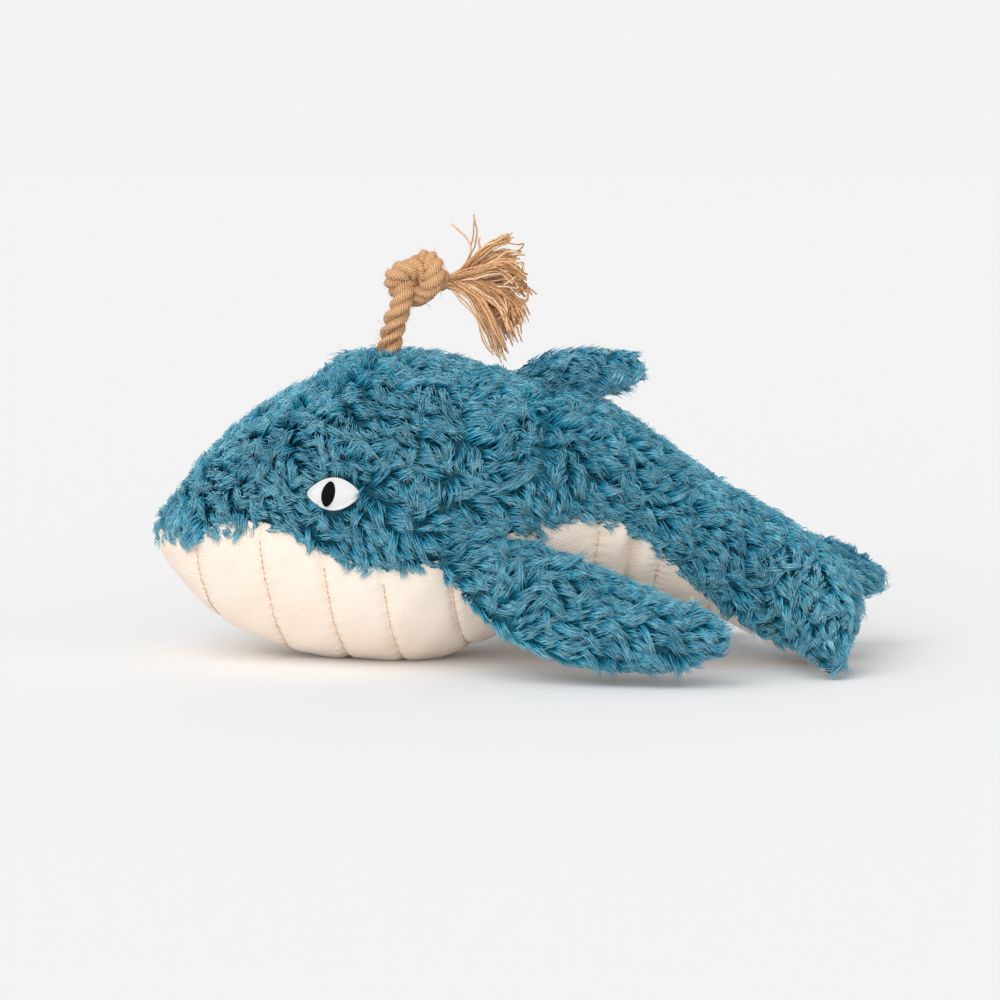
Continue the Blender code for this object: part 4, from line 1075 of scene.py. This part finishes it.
# Painted shade and painted highlight: each strand runs from almost black at its root, where shade falls deep in the
# pile, to pale at its tip
ramp = add_node(tree, "ShaderNodeValToRGB", {"Fac": shade_to_highlight_along.outputs[0]})
ramp.color_ramp.elements[0].position = 0.08
ramp.color_ramp.elements[0].color = (0.001, 0.080, 0.130, 1)
ramp.color_ramp.elements[1].position = 1.0
ramp.color_ramp.elements[1].color = (0.540, 0.920, 1.000, 1)
middle_tone = ramp.color_ramp.elements.new(0.50)
middle_tone.color = (0.034, 0.385, 0.570, 1)
tone_ramp = add_node(tree, "ShaderNodeValToRGB", {"Fac": split.outputs["X"]})
tone_ramp.color_ramp.elements[0].color = (0.40, 0.54, 0.60, 1)
tone_ramp.color_ramp.elements[1].color = (1.0, 1.0, 1.0, 1)
dyed = add_node(
    tree, "ShaderNodeMix", {0: 1.0, 6: ramp.outputs["Color"], 7: tone_ramp.outputs["Color"]},
    data_type="RGBA", blend_type="MULTIPLY",
)
tree.links.new(dyed.outputs[2], shader.inputs["Base Color"])


def furred(name, paths, radii, side, tones, carry):
    """Strands as pieces of a bounded size, each handed to the given call."""
    in_piece = locks_in_piece * strands_in_lock
    parts = max(1, math.ceil(len(paths) / in_piece))
    for number, chosen in enumerate(np.array_split(np.arange(len(paths)), parts)):
        piece = strand_mesh(
            name if parts == 1 else f"{name}_{number + 1}", paths[chosen], radii[chosen], 3, side[chosen],
            tones[chosen],
        )
        piece.data.materials.append(fur_blue)
        carry(piece)


random = np.random.default_rng(3)
seam_margin = 0.0022


def pile_edges(x):
    low, high, wide = section(x)
    margin = np.interp(x, (-0.110, -0.095, -0.080, -0.035, -0.020), (0.8, 1.6, 2.0, 1.8, 1.0)) * seam_margin
    start = seam_angle(x) + margin / ((high - low) / 4 + wide / 2)
    return start, math.pi - start


u, v = scatter(
    body_point, (nose_x + 0.0006, nose_x + body_length * 0.996), pile_edges, lock_spacing, random
)
normals = body_normal(u, v)
points = body_point(u, v) - normals * head_sink(u, normals)[:, None]
lay = np.array((0.80, 0.0, -0.55)) + 1.5 * wander(points, 50, 0.0) + 1.3 * wander(points, 150, 9.0)
length = lock_length * random.uniform(0.75, 1.25, len(points))
height = pile_height * random.uniform(0.82, 1.18, len(points))

# Along the seam the locks are shorter and lie along the body, so that they don't hang over the canvas
low, high, wide = section(u)
from_seam = np.minimum(v - seam_angle(u), math.pi - seam_angle(u) - v) * ((high - low) / 4 + wide / 2)
share = np.clip(1 - from_seam / 0.012, 0, 1)
lay[:, 2] *= 1 - np.interp(u, (-0.115, -0.100), (0.1, 0.8)) * share
height, length = height * (1 - 0.30 * share), length * (1 - 0.30 * share)

# The locks part round the eyes, round the rope and at the crease in front of the dorsal fin
keep = np.ones(len(points), dtype=bool)
for side in (-1, 1):
    middle, along, up, out = eye_frame(side, eye_tilt_deg, 0, 0)
    off = points - middle
    flat_x, flat_y = off @ along / (eye_length / 2), off @ up / (eye_height / 2)
    near = (off @ out > -0.02) & (points[:, 1] * side > 0)
    ring = np.hypot(flat_x, flat_y / np.maximum(1 - eye_point_share * np.clip(flat_x, -1, 1) ** 2, 0.5))
    keep &= ~(near & (ring < 1.03))
    share = np.where(near, np.clip((1.9 - ring) / 0.9, 0, 1), 0)[:, None]
    away = along * flat_x[:, None] + up * flat_y[:, None] * 1.2
    over_back_corner = (flat_x > 0.80) & (flat_x < 1.5)
    away[over_back_corner] = up * 0.2 - along
    lay = lay * (1 - share * 0.5) + unit(away) * share * 1.1
    length = length * (1 - 0.35 * share[:, 0])
    height = height * np.where(over_back_corner & near & (ring < 1.5), 1.35, 1 - 0.25 * share[:, 0])
from_rope = points[:, :2] - rope_exit[:2]
distance = np.linalg.norm(from_rope, axis=1)
keep &= ~((distance < 0.0058) & (points[:, 2] > 0.1))
share = np.where(points[:, 2] > 0.1, np.clip((0.014 - distance) / 0.008, 0, 1), 0)[:, None]
lay = lay * (1 - share) + np.concatenate([unit(from_rope), np.zeros((len(points), 1))], axis=1) * share * 0.9
from_crease = points[:, 0] - crease_x
inside = (points[:, 2] > crease_low) & (points[:, 2] < crease_high)
dip = np.where(inside, np.exp(-((from_crease / 0.0024) ** 2)), 0)
height, length = height * (1 - 0.60 * dip), length * (1 - 0.40 * dip)
lay[:, 0] += np.where(inside, 1.2 * np.sign(from_crease) * np.exp(-((from_crease / 0.006) ** 2)), 0)
points, normals, lay, length, height = (table[keep] for table in (points, normals, lay, length, height))


def bends_with_body(piece):
    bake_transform(piece)


furred("back_pile", *fur(points, normals, along_surface(lay, normals), length, height, random), bends_with_body)

# The side fins: two pieces of the same plush sewn together, turned and lightly filled. Each is sewn on along
# a slanting line where the plush meets the canvas, and hangs down to the floor with its locks along it.
fin_shares = np.array((
    (-0.15, -0.06, 0.15, -0.07, 0.45),
    (-0.17, 0.02, 0.165, 0.01, 0.60),
    (-0.13, 0.14, 0.27, 0.09, 0.66),
    (-0.05, 0.33, 0.40, 0.22, 0.92),
    (0.10, 0.52, 0.53, 0.36, 1.00),
    (0.30, 0.66, 0.65, 0.47, 0.94),
    (0.50, 0.75, 0.75, 0.58, 0.84),
    (0.67, 0.78, 0.81, 0.66, 0.68),
    (0.73, 0.765, 0.79, 0.71, 0.45),
))
fin_length = 0.104
fin_thickness = 0.024
fin_seat = (-0.011, 0.05961, 0.05316)
fin_along = (0.9168, -0.1521, 0.3692)
fin_away = (0.3323, 0.3746, -0.8656)
skin_edge_inset = 0.0038
skin_face_inset = 0.0042


def leaf_surface(seat, along, away, length, thickness, shares):
    """The skin of a padded leaf: a function of the share along it and the angle round it, and its middle."""
    seat, along = np.array(seat), unit(np.array(along))
    up = unit(np.cross(along, np.array(away)))
    away = np.cross(up, along)
    places = np.linspace(0, 1, len(shares))

    def rows(at):
        front_x, front_y, back_x, back_y, thick = (smooth(places, shares[:, k], at) for k in range(5))
        half_x, half_y = (back_x - front_x) * length / 2, (back_y - front_y) * length / 2
        kept = np.maximum(1 - skin_edge_inset / np.hypot(half_x, half_y), 0.3)
        tall = np.maximum(thick * thickness / 2 - skin_face_inset, 0.0010)
        return (front_x + back_x) * length / 2, (front_y + back_y) * length / 2, half_x * kept, half_y * kept, tall

    def middle(at):
        x, y = rows(at)[:2]
        return seat + along * x[..., None] + away * y[..., None]

    def point(at, angle):
        x, y, half_x, half_y, tall = rows(at)
        closing = np.sqrt(np.clip(1 - (np.maximum(np.abs(2 * at - 1) - 0.86, 0) / 0.14) ** 2, 0, 1))
        x = x + half_x * np.cos(angle) * closing
        y = y + half_y * np.cos(angle) * closing
        return seat + along * x[..., None] + away * y[..., None] + up * (tall * np.sin(angle) * closing)[..., None]

    return point, middle, along, away, up


def leaf_skin(name, surface, body):
    """The stuffed skin under the pile of a fin or a fluke."""
    skin = shaped_ball(name, 40, 40, lambda share, angle: surface(np.clip(share, 0.001, 0.999), angle))
    skin.data.materials.append(backing_blue)
    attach(skin, body)
    return skin


def leaf_fur(name, leaf, body, angles, flow, length, height, random, roots_from=0.015):
    """The pile of a fin or a fluke, between two angles round it."""
    surface, middle = leaf[:2]
    at, angle = scatter(
        surface, (roots_from, 0.985), lambda u: (np.full(len(u), angles[0]), np.full(len(u), angles[1])),
        lock_spacing, random,
    )
    points = surface(at, angle)
    normals = normals_of(surface, at, angle, 0.004, 0.02, middle(at))
    ways = np.array(flow) + 0.9 * wander(points, 60, 4.0) + 0.9 * wander(points, 150, 2.0)
    long = length * random.uniform(0.75, 1.25, len(points)) * (1 - 0.45 * np.clip((at - 0.7) / 0.3, 0, 1))
    tall = height * random.uniform(0.82, 1.18, len(points))
    tall = tall * (0.70 + 0.30 * np.abs(np.sin(angle)))
    furred(
        name, *fur(points, normals, along_surface(ways, normals), long, tall, random),
        lambda piece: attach(piece, body),
    )


for side_name, side in (("left", -1), ("right", 1)):
    mirror = np.array((1, side, 1))
    leaf = leaf_surface(
        mirror * fin_seat, mirror * fin_along, mirror * fin_away, fin_length, fin_thickness, fin_shares
    )
    skin = leaf_skin(f"{side_name}_fin_backing", leaf[0], f"{side_name}_fin")
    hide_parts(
        f"{side_name}_fin_upper_panel", f"{side_name}_fin_under_panel", f"{side_name}_fin_stuffing"
    )
    flow = leaf[3] * 0.55 + leaf[2]
    leaf_fur(
        f"{side_name}_fin_pile", leaf, f"{side_name}_fin", (0, 2 * math.pi), flow, 0.0085, 0.0055,
        np.random.default_rng(11 if side < 0 else 12),
    )

# The dorsal fin: a small stuffed leaf of the plush, sewn on along the back's middle seam and swept back, so
# that its locks run into those of the back.
dorsal_shares = np.array((
    (-0.46, -0.20, 0.46, -0.22, 0.60),
    (-0.50, 0.00, 0.50, 0.00, 0.60),
    (-0.40, 0.14, 0.62, 0.11, 0.55),
    (-0.22, 0.28, 0.75, 0.20, 1.00),
    (0.04, 0.40, 0.84, 0.30, 0.94),
    (0.32, 0.49, 0.84, 0.42, 0.76),
    (0.56, 0.53, 0.74, 0.51, 0.46),
))
leaf = leaf_surface(
    (0.0172, 0.0, 0.11802), (0.9523, 0.0, -0.305), (0.305, 0.0, 0.9523), 0.042, 0.017, dorsal_shares
)
skin = leaf_skin("dorsal_fin_backing", leaf[0], "dorsal_fin")
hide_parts("dorsal_fin_left_panel", "dorsal_fin_right_panel", "dorsal_fin_stuffing")
leaf_fur(
    "dorsal_fin_pile", leaf, "dorsal_fin", (0, 2 * math.pi), leaf[3] * 0.15 + leaf[2] * 0.9, 0.0072, 0.0038,
    np.random.default_rng(13),
)

# The flukes: plush above and canvas below, lightly filled. The left one has sunk down to the floor and the
# right one stands out level, as stuffing that has shifted lets them.
fluke_shares = np.array((
    (-0.50, -0.16, 0.44, -0.16, 0.45),
    (-0.56, 0.02, 0.50, 0.02, 0.60),
    (-0.48, 0.20, 0.58, 0.20, 0.72),
    (-0.28, 0.43, 0.63, 0.43, 1.00),
    (-0.04, 0.65, 0.65, 0.63, 0.92),
    (0.23, 0.83, 0.64, 0.79, 0.74),
    (0.42, 0.92, 0.57, 0.90, 0.46),
))
fluke_length = 0.042
fluke_thickness = 0.018
for side_name, seat, along, away, upper in (
    ("left", (0.1279, -0.027, 0.04058), (0.8433, 0.1824, -0.5056), (-0.3812, -0.6947, -0.6100), -1),
    ("right", (0.1279, 0.027, 0.04058), (0.8433, -0.1824, -0.5056), (0.0370, 0.9976, 0.0592), 1),
):
    leaf = leaf_surface(seat, along, away, fluke_length, fluke_thickness, fluke_shares)
    skin = leaf_skin(f"{side_name}_fluke_backing", leaf[0], f"{side_name}_fluke")
    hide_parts(f"{side_name}_fluke_upper_panel", f"{side_name}_fluke_stuffing")
    over = (-0.50, math.pi + 0.50) if upper > 0 else (-math.pi - 0.50, 0.50)
    leaf_fur(
        f"{side_name}_fluke_pile", leaf, f"{side_name}_fluke", over, leaf[3] + leaf[2] * 0.6, 0.0080, 0.0055,
        np.random.default_rng(15 if upper < 0 else 16),
    )

    def under_form(along_share, across_share):
        at = 0.16 + 0.80 * along_share
        angle = upper * (-0.50 - (math.pi - 1.00) * across_share)
        surface, middle = leaf[:2]
        placed = surface(at, angle) + normals_of(surface, at, angle, 0.004, 0.02, middle(at)) * 0.0009
        placed[..., 2] = np.maximum(placed[..., 2], 0.0002)
        return placed

    under = shaped_grid(f"{side_name}_fluke_canvas", 60, 50, under_form)
    thread_map(under, under_form)
    face_away(under, tuple(leaf[1](np.array([0.5]))[0]))
    give_wall(under, 0.0008)
    under.data.materials.append(canvas_cream)
    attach(under, f"{side_name}_fluke")
    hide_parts(f"{side_name}_fluke_under_panel")

# What is inside and doesn't show: the squeaker's soft bulb and its reed, and the rope's sewn-in root. Their
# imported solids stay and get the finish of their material.
squeaker_plastic, tree, shader = new_material("squeaker_plastic", 0.42, Coat_Weight=0.1)
where = add_node(tree, "ShaderNodeTexCoord")
cloud = add_node(tree, "ShaderNodeTexNoise", {"Vector": where.outputs["Object"], "Scale": 160.0, "Detail": 3.0})
ramp = add_node(tree, "ShaderNodeValToRGB", {"Fac": cloud.outputs["Fac"]})
ramp.color_ramp.elements[0].color = (0.66, 0.65, 0.60, 1)
ramp.color_ramp.elements[1].color = (0.80, 0.80, 0.76, 1)
tree.links.new(ramp.outputs["Color"], shader.inputs["Base Color"])

root_jute, tree, shader = new_material("root_jute", 0.9, Sheen_Weight=0.2)
where = add_node(tree, "ShaderNodeTexCoord")
twist = add_node(
    tree, "ShaderNodeTexWave", {"Vector": where.outputs["Object"], "Scale": 160.0, "Distortion": 2.0},
    bands_direction="DIAGONAL",
)
# Painted shade: the twist's bands are darker in their grooves, by the same wave as the bump
ramp = add_node(tree, "ShaderNodeValToRGB", {"Fac": twist.outputs["Fac"]})
ramp.color_ramp.elements[0].color = (0.33, 0.16, 0.07, 1)
ramp.color_ramp.elements[1].color = (0.72, 0.46, 0.26, 1)
tree.links.new(ramp.outputs["Color"], shader.inputs["Base Color"])
bump = add_node(tree, "ShaderNodeBump", {"Height": twist.outputs["Fac"], "Strength": 0.6, "Distance": 0.0006})
tree.links.new(bump.outputs["Normal"], shader.inputs["Normal"])
for node, finish in (
    ("squeaker_bulb", squeaker_plastic), ("squeaker_reed", squeaker_plastic), ("rope_root", root_jute)
):
    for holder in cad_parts[node].material_slots:
        holder.material = finish
